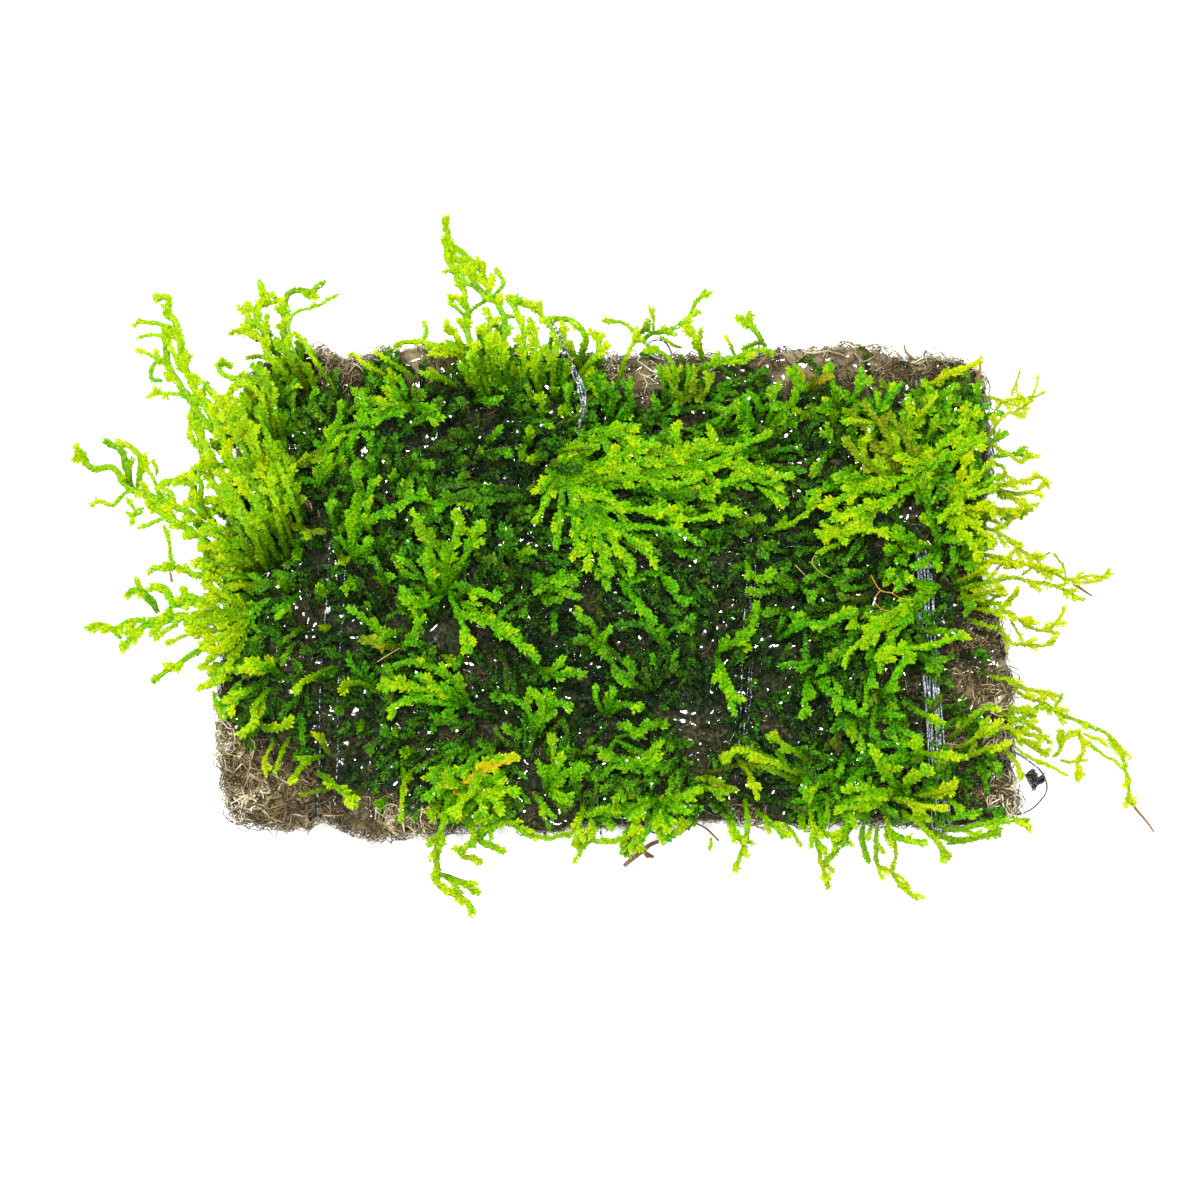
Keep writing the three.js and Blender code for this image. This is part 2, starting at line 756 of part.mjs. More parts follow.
/** A low clump of moss on the pad: a flat-bottomed lump with its own stems grown out of it. */
function bedClump({ box, crown, stems }, room) {
  const [left, high, right, low] = box;
  const corner = placed([left, low], MAT_THICKNESS);
  const opposite = placed([right, high], MAT_THICKNESS);
  const middle = new THREE.Vector3().addVectors(corner, opposite).multiplyScalar(0.5);
  const half = new THREE.Vector3().subVectors(opposite, corner).multiplyScalar(0.5);
  const floor = MAT_THICKNESS + CLEARANCE;
  const topAt = (place) => {
    const spread = Math.min(squareRadius((place.x - middle.x) / half.x, (place.y - middle.y) / half.y), 1);
    return floor + BED_RIM + crown * Math.sqrt(1 - spread ** 2) * (1 + BED_LUMPS * lumps(place.x, place.y));
  };
  const rings = BED_RINGS.map((out) => new THREE.Vector2(out, 1));
  const profile = [new THREE.Vector2(0, 0), new THREE.Vector2(1, 0), ...rings, new THREE.Vector2(0, 1)];
  const lump = new THREE.LatheGeometry(profile, BED_SIDES);
  lump.rotateX(Math.PI / 2);
  const position = lump.attributes.position;
  for (let i = 0; i < position.count; i += 1) {
    const out = Math.hypot(position.getX(i), position.getY(i));
    const turn = Math.atan2(position.getY(i), position.getX(i));
    const wave = 1 - BED_WAVE * (1 + Math.sin(BED_LOBES * turn + middle.x));
    const stretch = out > 0 ? wave * out / squareRadius(position.getX(i), position.getY(i)) : 0;
    const x = middle.x + position.getX(i) * stretch * (half.x + room);
    const y = middle.y + position.getY(i) * stretch * (half.y + room);
    const z = position.getZ(i) > 0.5 ? topAt({ x, y }) + room : floor - room;
    position.setXYZ(i, x, y, z);
  }
  let clump = solidOf(lump);
  stems.forEach((pixels) => {
    const course = courseOf(pixels, (place) => topAt(place) + STEM_RADIUS, STEM_STEP);
    if (course[0].distanceTo(middle) < course[course.length - 1].distanceTo(middle)) {
      course.reverse();
    }
    const foot = course[course.length - 1];
    foot.z = topAt(foot) - STEM_RADIUS * FOOT_DEPTH;
    clump = clump.add(solidOf(stemAlong(course, STEM_RADIUS + room, STEM_SIDES)));
  });
  return clump;
}

/** A round thing of one radius along courses on the table, such as a twig with its roots. */
function onTable(courses, radius, height, room) {
  return courses
    .map((course) => courseOf(course, () => height, TWIG_STEP))
    .map((course) => solidOf(stemAlong(course, radius + room, LOOSE_SIDES)))
    .reduce((whole, part) => whole.add(part));
}

/** The small tuft of loose fibre. */
function fibreLump({ at, radius, height }) {
  const lump = new THREE.IcosahedronGeometry(1, 1);
  const position = lump.attributes.position;
  const middle = placed(at, 0);
  for (let i = 0; i < position.count; i += 1) {
    const uneven = lumps(position.getX(i) * LUMP_WAVES, position.getY(i) * LUMP_WAVES);
    const swell = radius * (1 + LUMP_UNEVENNESS * uneven);
    position.setXYZ(
      i,
      middle.x + position.getX(i) * swell,
      middle.y + position.getY(i) * swell,
      (position.getZ(i) + 1) * height / 2,
    );
  }
  return solidOf(lump);
}

const moss = new THREE.Group();
const taken = [];

/** Adds a solid to the model as a named mesh, cut clear of all that was added before it. */
function add(name, solid, wide, colour, roughness) {
  const clear = taken.reduce((rest, other) => rest.subtract(other), solid);
  const body = largestBody(clear);
  const material = new THREE.MeshStandardMaterial({ color: colour, roughness, metalness: 0 });
  const mesh = new THREE.Mesh(geometryOf(body), material);
  mesh.name = name;
  moss.add(mesh);
  taken.push(wide);
}

for (const [name, plan] of Object.entries(TIES)) {
  add(name, tie(plan, 0), tie(plan, CLEARANCE), COLOURS.line, 0.25);
}
const mat = fibreMat();
add('fibre_mat', mat, mat, COLOURS.fibre, 0.6);
for (const [name, plan] of Object.entries(FRONDS)) {
  add(name, frond(plan, 0), frond(plan, CLEARANCE), COLOURS.leaf, 0.45);
}
for (const [name, plan] of Object.entries(MOSS_BED)) {
  add(name, bedClump(plan, 0), bedClump(plan, CLEARANCE), COLOURS.deepLeaf, 0.5);
}
const { radius: twigRadius, height: twigHeight, courses } = DEAD_TWIG;
add('dead_twig', onTable(courses, twigRadius, twigHeight, 0),
  onTable(courses, twigRadius, twigHeight, CLEARANCE), COLOURS.twig, 0.6);
const { radius: threadRadius, height: threadHeight, course: threadCourse } = THREAD_END;
add('tie_loose_end', onTable([threadCourse], threadRadius, threadHeight, 0),
  onTable([threadCourse], threadRadius, threadHeight, CLEARANCE), COLOURS.line, 0.3);
const lump = fibreLump(FIBRE_LUMP);
add('fibre_lump', lump, lump, COLOURS.fibre, 0.7);

export default moss;
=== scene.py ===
"""Flame moss on a fibre mat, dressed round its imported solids.

Leafy stems take the place of the plain fronds and clumps, a tangle of curled fibre covers the mat,
and thin nylon line takes the place of the flat ties. Courses of stems are given in pixels of the
photograph, which looks straight down, and are turned into millimetres at the height of the stem.
Lengths are millimetres until a mesh is made, and metres in Blender.
"""

from __future__ import annotations

import sys

import logging
import math
from collections.abc import Iterable
from dataclasses import dataclass, field, replace
from enum import Enum

import bmesh
import bpy
import numpy as np
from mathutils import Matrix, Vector, noise


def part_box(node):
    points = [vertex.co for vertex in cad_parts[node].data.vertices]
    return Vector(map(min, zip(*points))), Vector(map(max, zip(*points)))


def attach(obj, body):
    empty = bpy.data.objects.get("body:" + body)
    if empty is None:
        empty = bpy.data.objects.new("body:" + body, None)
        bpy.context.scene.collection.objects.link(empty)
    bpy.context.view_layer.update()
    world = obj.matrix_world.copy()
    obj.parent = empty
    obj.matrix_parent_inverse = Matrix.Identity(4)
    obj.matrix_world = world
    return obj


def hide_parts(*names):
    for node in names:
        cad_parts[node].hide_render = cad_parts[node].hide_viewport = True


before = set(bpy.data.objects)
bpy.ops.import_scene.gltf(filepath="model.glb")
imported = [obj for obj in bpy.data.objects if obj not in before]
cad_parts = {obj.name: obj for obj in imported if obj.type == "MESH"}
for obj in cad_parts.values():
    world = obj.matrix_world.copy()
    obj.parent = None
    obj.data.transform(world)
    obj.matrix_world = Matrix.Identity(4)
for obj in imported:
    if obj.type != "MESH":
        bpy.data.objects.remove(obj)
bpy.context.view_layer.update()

Pixel = tuple[float, float]
Colour = tuple[float, float, float, float]

MM = 0.001
WHITE = (1.0, 1.0, 1.0, 1.0)
SEED = 7
ROOT = "root"

log = logging.getLogger("flame_moss")


@dataclass(frozen=True)
class Photograph:
    """How the photograph was taken: an eye straight over one pixel, looking down."""

    mm_per_pixel: float = 0.166
    eye_height: float = 600.0
    centre: Pixel = (600.0, 600.0)
    mat_centre: Pixel = (620.0, 590.0)
    mat_top: float = 9.0

    @property
    def eye(self) -> np.ndarray:
        """The eye's place over the mat, in millimetres."""
        return np.array([(self.centre[0] - self.mat_centre[0]) * self.mm_per_pixel,
                         (self.mat_centre[1] - self.centre[1]) * self.mm_per_pixel,
                         self.eye_height])

    def placed(self, pixel: Pixel, height: float) -> np.ndarray:
        """Turns a pixel into a place.

        Args:
            pixel: Where the thing is seen, in a frame 1200 pixels wide and high.
            height: The thing's height over the table, in millimetres.

        Returns:
            The place in millimetres.
        """
        scale = self.mm_per_pixel * (self.eye_height - height) / (self.eye_height - self.mat_top)
        return np.array([self.eye[0] + (pixel[0] - self.centre[0]) * scale,
                         self.eye[1] + (self.centre[1] - pixel[1]) * scale,
                         height])

    def pixel_of(self, place: np.ndarray) -> Pixel:
        """The pixel at which a place near the mat's top is seen."""
        return (self.centre[0] + (place[0] - self.eye[0]) / self.mm_per_pixel,
                self.centre[1] - (place[1] - self.eye[1]) / self.mm_per_pixel)


PHOTO = Photograph()


class Value:
    """An output of a node tree that takes part in sums: each operator adds a Math node."""

    def __init__(self, tree: Tree, socket: bpy.types.NodeSocket) -> None:
        """Keeps the socket and the tree that it belongs to."""
        self.tree = tree
        self.socket = socket

    def also(self, name: str) -> Value:
        """Another output of the same node."""
        return Value(self.tree, self.socket.node.outputs[name])

    def sum(self, operation: str, first: Input, second: Input) -> Value:
        """A Math node of the given operation."""
        return self.tree.sum(operation, first, second)

    def __add__(self, other: Input) -> Value:
        """This value plus another."""
        return self.sum("ADD", self, other)

    __radd__ = __add__

    def __sub__(self, other: Input) -> Value:
        """This value less another."""
        return self.sum("SUBTRACT", self, other)

    def __rsub__(self, other: Input) -> Value:
        """Another value less this one."""
        return self.sum("SUBTRACT", other, self)

    def __mul__(self, other: Input) -> Value:
        """This value times another."""
        return self.sum("MULTIPLY", self, other)

    __rmul__ = __mul__

    def __pow__(self, power: Input) -> Value:
        """This value to a power."""
        return self.sum("POWER", self, power)

    def __gt__(self, other: Input) -> Value:
        """One where this value is larger, nought elsewhere."""
        return self.sum("GREATER_THAN", self, other)

    def __abs__(self) -> Value:
        """This value without its sign."""
        return self.sum("ABSOLUTE", self, 0.0)


Input = Value | float | int | str | tuple | bpy.types.ID


class Tree:
    """A node tree to which nodes are added in one way, whatever their type."""

    def __init__(self, tree: bpy.types.NodeTree) -> None:
        """Keeps the node tree."""
        self.tree = tree

    @staticmethod
    def socket(sockets: Iterable[bpy.types.NodeSocket], key: str | int | None) -> bpy.types.NodeSocket:
        """Finds a socket that is in use.

        Args:
            sockets: A node's inputs or outputs.
            key: The socket's name or number, or None for the first in use.

        Returns:
            The socket.
        """
        if isinstance(key, int):
            return sockets[key]
        return next(s for s in sockets if s.enabled and key in (None, s.name))

    def add(self, kind: str, settings: dict | None = None, inputs: dict | None = None,
            output: str | int | None = None) -> Value:
        """Adds one node.

        Args:
            kind: The node's type.
            settings: Its properties, which are set first; "stops" are a ramp's places and colours.
            inputs: Values or links by socket name or number; a list links each of its members.
            output: The name or number of the output to give back, the first in use if None.

        Returns:
            The node's output.
        """
        node = self.tree.nodes.new(kind)
        for name, setting in (settings or {}).items():
            if name == "stops":
                self.set_stops(node.color_ramp, setting)
            else:
                setattr(node, name, setting)
        for key, given in (inputs or {}).items():
            target = self.socket(node.inputs, key)
            for one in given if isinstance(given, list) else [given]:
                if isinstance(one, Value):
                    self.tree.links.new(one.socket, target)
                else:
                    target.default_value = one
        return Value(self, self.socket(node.outputs, output)) if len(node.outputs) else Value(self, None)

    def sum(self, operation: str, first: Input, second: Input) -> Value:
        """A Math node of the given operation."""
        return self.add("ShaderNodeMath", {"operation": operation}, {0: first, 1: second})

    @staticmethod
    def set_stops(ramp: bpy.types.ColorRamp, stops: tuple) -> None:
        """Gives a ramp its stops.

        Args:
            ramp: The ramp.
            stops: A place from 0 to 1 and a colour for each stop.
        """
        for _ in range(len(stops) - len(ramp.elements)):
            ramp.elements.new(1.0)
        for element, (place, colour) in zip(ramp.elements, stops):
            element.position = place
            element.color = colour


FILM_EDGE = 8.0
DRY_SHARE = 0.42


class Surface(Tree):
    """The node tree of a material, with the nodes that most finishes share."""

    def __init__(self, name: str) -> None:
        """Starts an empty material of that name."""
        self.material = bpy.data.materials.new(name)
        self.material.use_nodes = True
        super().__init__(self.material.node_tree)
        self.tree.nodes.clear()

    def place(self) -> Value:
        """Object coordinates, in metres."""
        return self.add("ShaderNodeTexCoord", output="Object")

    def attribute(self, name: str) -> Value:
        """A number kept on the mesh's points."""
        return self.add("ShaderNodeAttribute", {"attribute_name": name}, output="Fac")

    def noise(self, size: float, detail: float = 2.0) -> Value:
        """Noise between 0 and 1 whose lumps are about `size` millimetres."""
        return self.add("ShaderNodeTexNoise", {}, {"Vector": self.place(), "Scale": 1 / (size * MM),
                                                   "Detail": detail}, output=0)

    def water(self, size: float, dry: float = DRY_SHARE) -> Value:
        """Films of water about `size` millimetres wide, from 0 to 1, over all but the share `dry`."""
        return self.sum("MINIMUM", self.sum("MAXIMUM", (self.noise(size, 3.0) - dry) * FILM_EDGE, 0.0), 1.0)

    def ramp(self, factor: Value, stops: tuple) -> Value:
        """Colour along a ramp."""
        return self.add("ShaderNodeValToRGB", {"stops": stops}, {"Fac": factor}, output="Color")

    def mix(self, factor: Input, first: Input, second: Input) -> Value:
        """Mixes two colours."""
        return self.add("ShaderNodeMix", {"data_type": "RGBA"}, {"Factor": factor, "A": first, "B": second})

    def relief(self, height: Value, depth: float, strength: float = 1.0) -> Value:
        """Bumps about `depth` millimetres high."""
        return self.add("ShaderNodeBump", {}, {
            "Height": height, "Strength": strength, "Distance": depth * MM})

    def skin(self, colour: Input, roughness: float, wet: Input, film_roughness: float = 0.05,
             relief: Value | None = None, specular: float = 0.5) -> Value:
        """A surface of one colour under a film of water.

        Args:
            colour: Its colour.
            roughness: How rough it is below the water.
            wet: How much of the film there is, from nought to one.
            film_roughness: How rough the water is.
            relief: Its bumps, if it has any.
            specular: How much it shines below the water.

        Returns:
            The shader.
        """
        bumps = {"Normal": relief} if relief else {}
        return self.add("ShaderNodeBsdfPrincipled", {}, {
            "Base Color": colour, "Roughness": roughness, "Specular IOR Level": specular,
            "Coat Weight": wet, "Coat Roughness": film_roughness, **bumps})

    def finish(self, shader: Value) -> bpy.types.Material:
        """Ends the tree in its output and gives the material."""
        self.add("ShaderNodeOutputMaterial", {}, {"Surface": shader})
        return self.material


def srgb(red: float, green: float, blue: float) -> Colour:
    """Turns a colour as seen on a screen, 0 to 255, into the linear one that shaders take."""
    return (*((part / 255) ** 2.2 for part in (red, green, blue)), 1.0)


@dataclass(frozen=True)
class LeafFinish:
    """Wet moss: near black where it is old and deep, lime and yellow green where it is young, with painted
    shade in the creases between its scales.
    """

    name: str = "moss_leaf"
    stops: tuple = (
        (0.0, srgb(19, 34, 18)),
        (0.2, srgb(36, 69, 14)),
        (0.4, srgb(54, 117, 5)),
        (0.6, srgb(76, 157, 2)),
        (0.8, srgb(122, 180, 3)),
        (1.0, srgb(176, 196, 8)),
    )
    dead: Colour = srgb(222, 170, 30)
    glow: Colour = srgb(190, 235, 6)
    thinness: float = 0.16
    roughness: float = 0.5
    specular: float = 0.1
    wettest: float = 1.1
    patch_size: float = 2.4
    patch_depth: float = 0.26
    cell_size: float = 0.42
    cell_middle: float = 0.4
    cell_shading: float = 0.54
    cell_height: float = 0.12
    drop_size: float = 0.24

    def material(self) -> bpy.types.Material:
        """Makes the material, which reads the attributes tone and gold."""
        s = Surface(self.name)
        cells = s.add("ShaderNodeTexVoronoi", {}, {"Vector": s.place(), "Scale": 1 / (self.cell_size * MM)},
                      output="Distance")
        tone = s.attribute("tone") + (s.noise(self.patch_size) - 0.5) * self.patch_depth
        # Painted shade and highlight: each scale's cell is lighter at its raised middle and darker in the
        # creases between scales.
        tone = tone + (self.cell_middle - cells) * self.cell_shading
        colour = s.mix(s.attribute("gold"), s.ramp(tone, self.stops), self.dead)
        skin = s.skin(colour, self.roughness, s.water(self.drop_size) * (self.wettest - tone),
                      relief=s.relief(1 - cells, self.cell_height), specular=self.specular)
        light = s.add("ShaderNodeBsdfTranslucent", {}, {"Color": self.glow})
        thin = s.add("ShaderNodeMath", {"operation": "MULTIPLY", "use_clamp": True},
                     {0: tone, 1: self.thinness})
        return s.finish(s.add("ShaderNodeMixShader", {}, {0: thin, 1: skin, 2: light}))


@dataclass(frozen=True)
class FibreFinish:
    """Coarse wet fibre, each strand of its own brown from near black to tan, darker under the moss as
    painted shade; the near white strands at the top of the ramp are painted highlights on wet strands.
    """

    name: str = "coarse_fibre"
    stops: tuple = (
        (0.0, srgb(28, 26, 18)),
        (0.3, srgb(72, 60, 34)),
        (0.6, srgb(144, 124, 78)),
        # The two palest stops are painted highlights: they stand for glints on wet strands.
        (0.85, srgb(210, 196, 156)),
        (1.0, srgb(232, 224, 200)),
    )
    roughness: float = 0.25
    wetness: float = 0.9
    mottle_size: float = 6.0
    contrast: float = 2.3
    darkening: float = 0.15

    def material(self) -> bpy.types.Material:
        """Makes the material, which reads the attribute shade."""
        s = Surface(self.name)
        shade = s.attribute("shade") * (s.noise(self.mottle_size, 3.0) * self.contrast - self.darkening)
        return s.finish(s.skin(s.ramp(shade, self.stops), self.roughness, self.wetness))


@dataclass(frozen=True)
class MatFinish:
    """The mat between its strands: dark felt, with smooth tan films of wet binder on it; where moss covers
    it, the felt is painted darker and greener, as painted shade under the moss.
    """

    name: str = "mat_felt"
    felt: tuple = ((0.35, srgb(20, 19, 12)), (0.5, srgb(54, 46, 31)), (0.68, srgb(108, 93, 63)))
    shaded_under_moss: tuple = ((0.35, srgb(16, 26, 14)), (0.5, srgb(32, 44, 20)), (0.68, srgb(62, 68, 32)))
    film: tuple = ((0.3, srgb(74, 65, 44)), (0.5, srgb(104, 93, 66)), (0.7, srgb(134, 122, 90)))
    grain_size: float = 0.7
    grain_height: float = 0.5
    film_grain_size: float = 1.6
    smoothing: float = 0.6
    brown_size: float = 5.0
    brown_from: float = 0.47
    brown_share: float = 0.6
    bump: float = 0.9
    roughness: float = 0.85
    film_roughness: float = 0.06
    specular: float = 0.15
    drop_size: float = 0.2

    def material(self) -> bpy.types.Material:
        """Makes the material, which reads the attributes film and bare."""
        s = Surface(self.name)
        grain = s.noise(self.grain_size, 6.0)
        film = s.attribute("film")
        brown = s.water(self.brown_size, self.brown_from) * self.brown_share
        brown = s.sum("MAXIMUM", s.attribute("bare"), brown)
        # Away from bare spots and brown patches the felt takes the darker, greener colours: painted shade
        # under the moss.
        dry = s.mix(brown, s.ramp(grain, self.shaded_under_moss), s.ramp(grain, self.felt))
        colour = s.mix(film, dry, s.ramp(s.noise(self.film_grain_size, 6.0), self.film))
        relief = s.relief(grain * (1 - film * self.smoothing), self.grain_height, self.bump)
        wet = s.sum("MAXIMUM", film, s.water(self.drop_size))
        return s.finish(s.skin(colour, self.roughness, wet, self.film_roughness, relief, self.specular))


@dataclass(frozen=True)
class LineFinish:
    """Nylon line, wet and glossy, with glints painted into its colour along it: near white painted
    highlights, over the real gloss of its coat.
    """

    name: str
    dark: Colour
    colour: Colour
    glint: Colour
    glint_size: float = 0.9
    glint_from: float = 0.62
    glint_edge: float = 0.08
    dark_until: float = 0.38
    fine_size: float = 0.35
    roughness: float = 0.12
    wetness: float = 0.8
    bump: float = 0.2

    def material(self) -> bpy.types.Material:
        """Makes the material."""
        s = Surface(self.name)
        # Painted highlight: where this noise is high the colour turns to the near white glint colour.
        speck = s.noise(self.glint_size, 1.0) * 0.5 + s.noise(self.glint_size * self.fine_size, 1.0) * 0.5
        stops = ((self.dark_until, self.dark), (self.glint_from - self.glint_edge, self.colour),
                 (self.glint_from, self.glint), (1.0, self.glint))
        return s.finish(s.skin(s.ramp(speck, stops), self.roughness, self.wetness,
                               relief=s.relief(speck, self.bump)))


@dataclass(frozen=True)
class TwigFinish:
    """A dead stem or root, mottled along its length."""

    name: str
    dark: Colour
    light: Colour
    mottle_size: float = 1.2
    roughness: float = 0.45
    wetness: float = 0.3
    film_roughness: float = 0.15
    bump: float = 0.2
    bump_strength: float = 0.5

    def material(self) -> bpy.types.Material:
        """Makes the material."""
        s = Surface(self.name)
        mottle = s.noise(self.mottle_size, 4.0)
        return s.finish(s.skin(s.mix(mottle, self.dark, self.light), self.roughness, self.wetness,
                               self.film_roughness, s.relief(mottle, self.bump, self.bump_strength)))


def put(name: str, data: bpy.types.ID) -> bpy.types.Object:
    """Makes an object and puts it into the scene.

    Args:
        name: Its name.
        data: Its mesh, lamp or camera.

    Returns:
        The object.
    """
    made = bpy.data.objects.new(name, data)
    bpy.context.scene.collection.objects.link(made)
    return made


def mark(mesh: bpy.types.Mesh, label: str, numbers: np.ndarray) -> None:
    """Keeps a number for each point of a mesh."""
    mesh.attributes.new(label, "FLOAT", "POINT").data.foreach_set("value", numbers.astype(np.float32))


def read_points(mesh: bpy.types.Mesh, what: str = "co") -> np.ndarray:
    """Reads something of a mesh's points.

    Args:
        mesh: The mesh.
        what: "co" for the places of the points, "normal" for their normals.

    Returns:
        One row for each point.
    """
    rows = np.empty(len(mesh.vertices) * 3)
    mesh.vertices.foreach_get(what, rows)
    return rows.reshape(-1, 3)


def made_plain(piece: bpy.types.Object) -> None:
    """Keeps what a piece's modifiers make as its plain mesh, and takes them off.

    Args:
        piece: The object whose mesh is replaced.
    """
    depsgraph = bpy.context.evaluated_depsgraph_get()
    made = bpy.data.meshes.new_from_object(
        piece.evaluated_get(depsgraph), preserve_all_data_layers=True, depsgraph=depsgraph)
    made.name = piece.name
    piece.modifiers.clear()
    piece.data = made


class Growth(Tree):
    """A Geometry Nodes tree with named sizes, which turns one mesh into the finished piece."""

    def __init__(self, name: str) -> None:
        """Starts a tree with a mesh going in."""
        super().__init__(bpy.data.node_groups.new(name, "GeometryNodeTree"))
        self.tree.interface.new_socket("Geometry", in_out="INPUT", socket_type="NodeSocketGeometry")
        self.tree.interface.new_socket("Geometry", in_out="OUTPUT", socket_type="NodeSocketGeometry")
        self.inside = self.tree.nodes.new("NodeGroupInput")

    @property
    def mesh(self) -> Value:
        """The mesh that goes in."""
        return Value(self, self.inside.outputs["Geometry"])

    def size(self, name: str) -> Value:
        """A named size that the modifier sets."""
        self.tree.interface.new_socket(name, in_out="INPUT", socket_type="NodeSocketFloat")
        return Value(self, self.inside.outputs[name])

    def attribute(self, name: str) -> Value:
        """A number kept on the points that go in."""
        return self.add("GeometryNodeInputNamedAttribute", {"data_type": "FLOAT"}, {"Name": name})

    def chance(self, low: Input, high: Input, seed: int) -> Value:
        """A number between two others that differs from point to point."""
        return self.add("FunctionNodeRandomValue", {"data_type": "FLOAT"},
                        {"Min": low, "Max": high, "Seed": seed})

    def turned(self, rotation: Value, axis: tuple[int, int, int], angle: Value) -> Value:
        """Turns a rotation further about an axis of its own.

        Args:
            rotation: The rotation to start from.
            axis: The axis, as the rotation has turned it.
            angle: How far to turn.

        Returns:
            The new rotation.
        """
        by = self.add("FunctionNodeAxisAngleToRotation", {}, {"Axis": axis, "Angle": angle})
        return self.add("FunctionNodeRotateRotation", {"rotation_space": "LOCAL"},
                        {"Rotation": rotation, "Rotate By": by})

    def marked(self, geometry: Value, name: str, number: Value, domain: str = "POINT") -> Value:
        """The same geometry with a number kept on its points or its instances."""
        return self.add("GeometryNodeStoreNamedAttribute", {"data_type": "FLOAT", "domain": domain},
                        {"Geometry": geometry, "Name": name, "Value": number})

    def tube(self, line: Value, radius: Value, sides: int, girth: Input = 1.0) -> Value:
        """Makes smooth tubes along lines.

        Args:
            line: The lines.
            radius: The tube's radius.
            sides: How many sides its section has.
            girth: What the radius is multiplied by at each point.

        Returns:
            The tubes.
        """
        profile = self.add("GeometryNodeCurvePrimitiveCircle", {}, {"Resolution": sides, "Radius": radius})
        whole = self.add("GeometryNodeCurveToMesh", {}, {
            "Curve": line, "Profile Curve": profile, "Scale": girth, "Fill Caps": True})
        return self.add("GeometryNodeSetShadeSmooth", {}, {"Geometry": whole, "Shade Smooth": True})

    def finish(self, parts: list[Value], material: bpy.types.Material) -> Growth:
        """Joins what was made, makes it real and gives it its material.

        Args:
            parts: What was made.
            material: The finish of all of it.

        Returns:
            This tree.
        """
        whole = self.add("GeometryNodeJoinGeometry", {}, {"Geometry": parts})
        real = self.add("GeometryNodeRealizeInstances", {}, {"Geometry": whole})
        done = self.add("GeometryNodeSetMaterial", {}, {"Geometry": real, "Material": material})
        self.add("NodeGroupOutput", {}, {"Geometry": done})
        return self

    def grown(self, piece: bpy.types.Object, sizes: dict[str, float]) -> None:
        """Runs the tree on a piece and keeps the result as a plain mesh.

        Args:
            piece: The object whose mesh goes in and is replaced.
            sizes: A value for each named size.
        """
        modifier = piece.modifiers.new(self.tree.name, "NODES")
        modifier.node_group = self.tree
        for item in self.tree.interface.items_tree:
            if item.item_type == "SOCKET" and item.name in sizes:
                modifier[item.identifier] = sizes[item.name]
        made_plain(piece)


@dataclass(frozen=True)
class LeafPlan:
    """How leaves stand on a stem; their sizes are shares of a leaf's length, and angles are radians."""

    stem_flatness: float = 0.34
    stem_shade: float = 0.02
    foot: float = 0.28
    reach: float = 0.82
    taper: float = 1.2
    fold: float = 0.12
    droop: float = 0.08
    fan: float = 1.85
    flattest: float = 0.6
    roll: float = 1.6
    turn_chance: float = 0.3
    tilt_chance: float = 0.2
    roll_chance: float = 0.45
    shades: tuple[float, float] = (-0.1, 0.08)
    scales: tuple[float, float] = (0.7, 1.25)


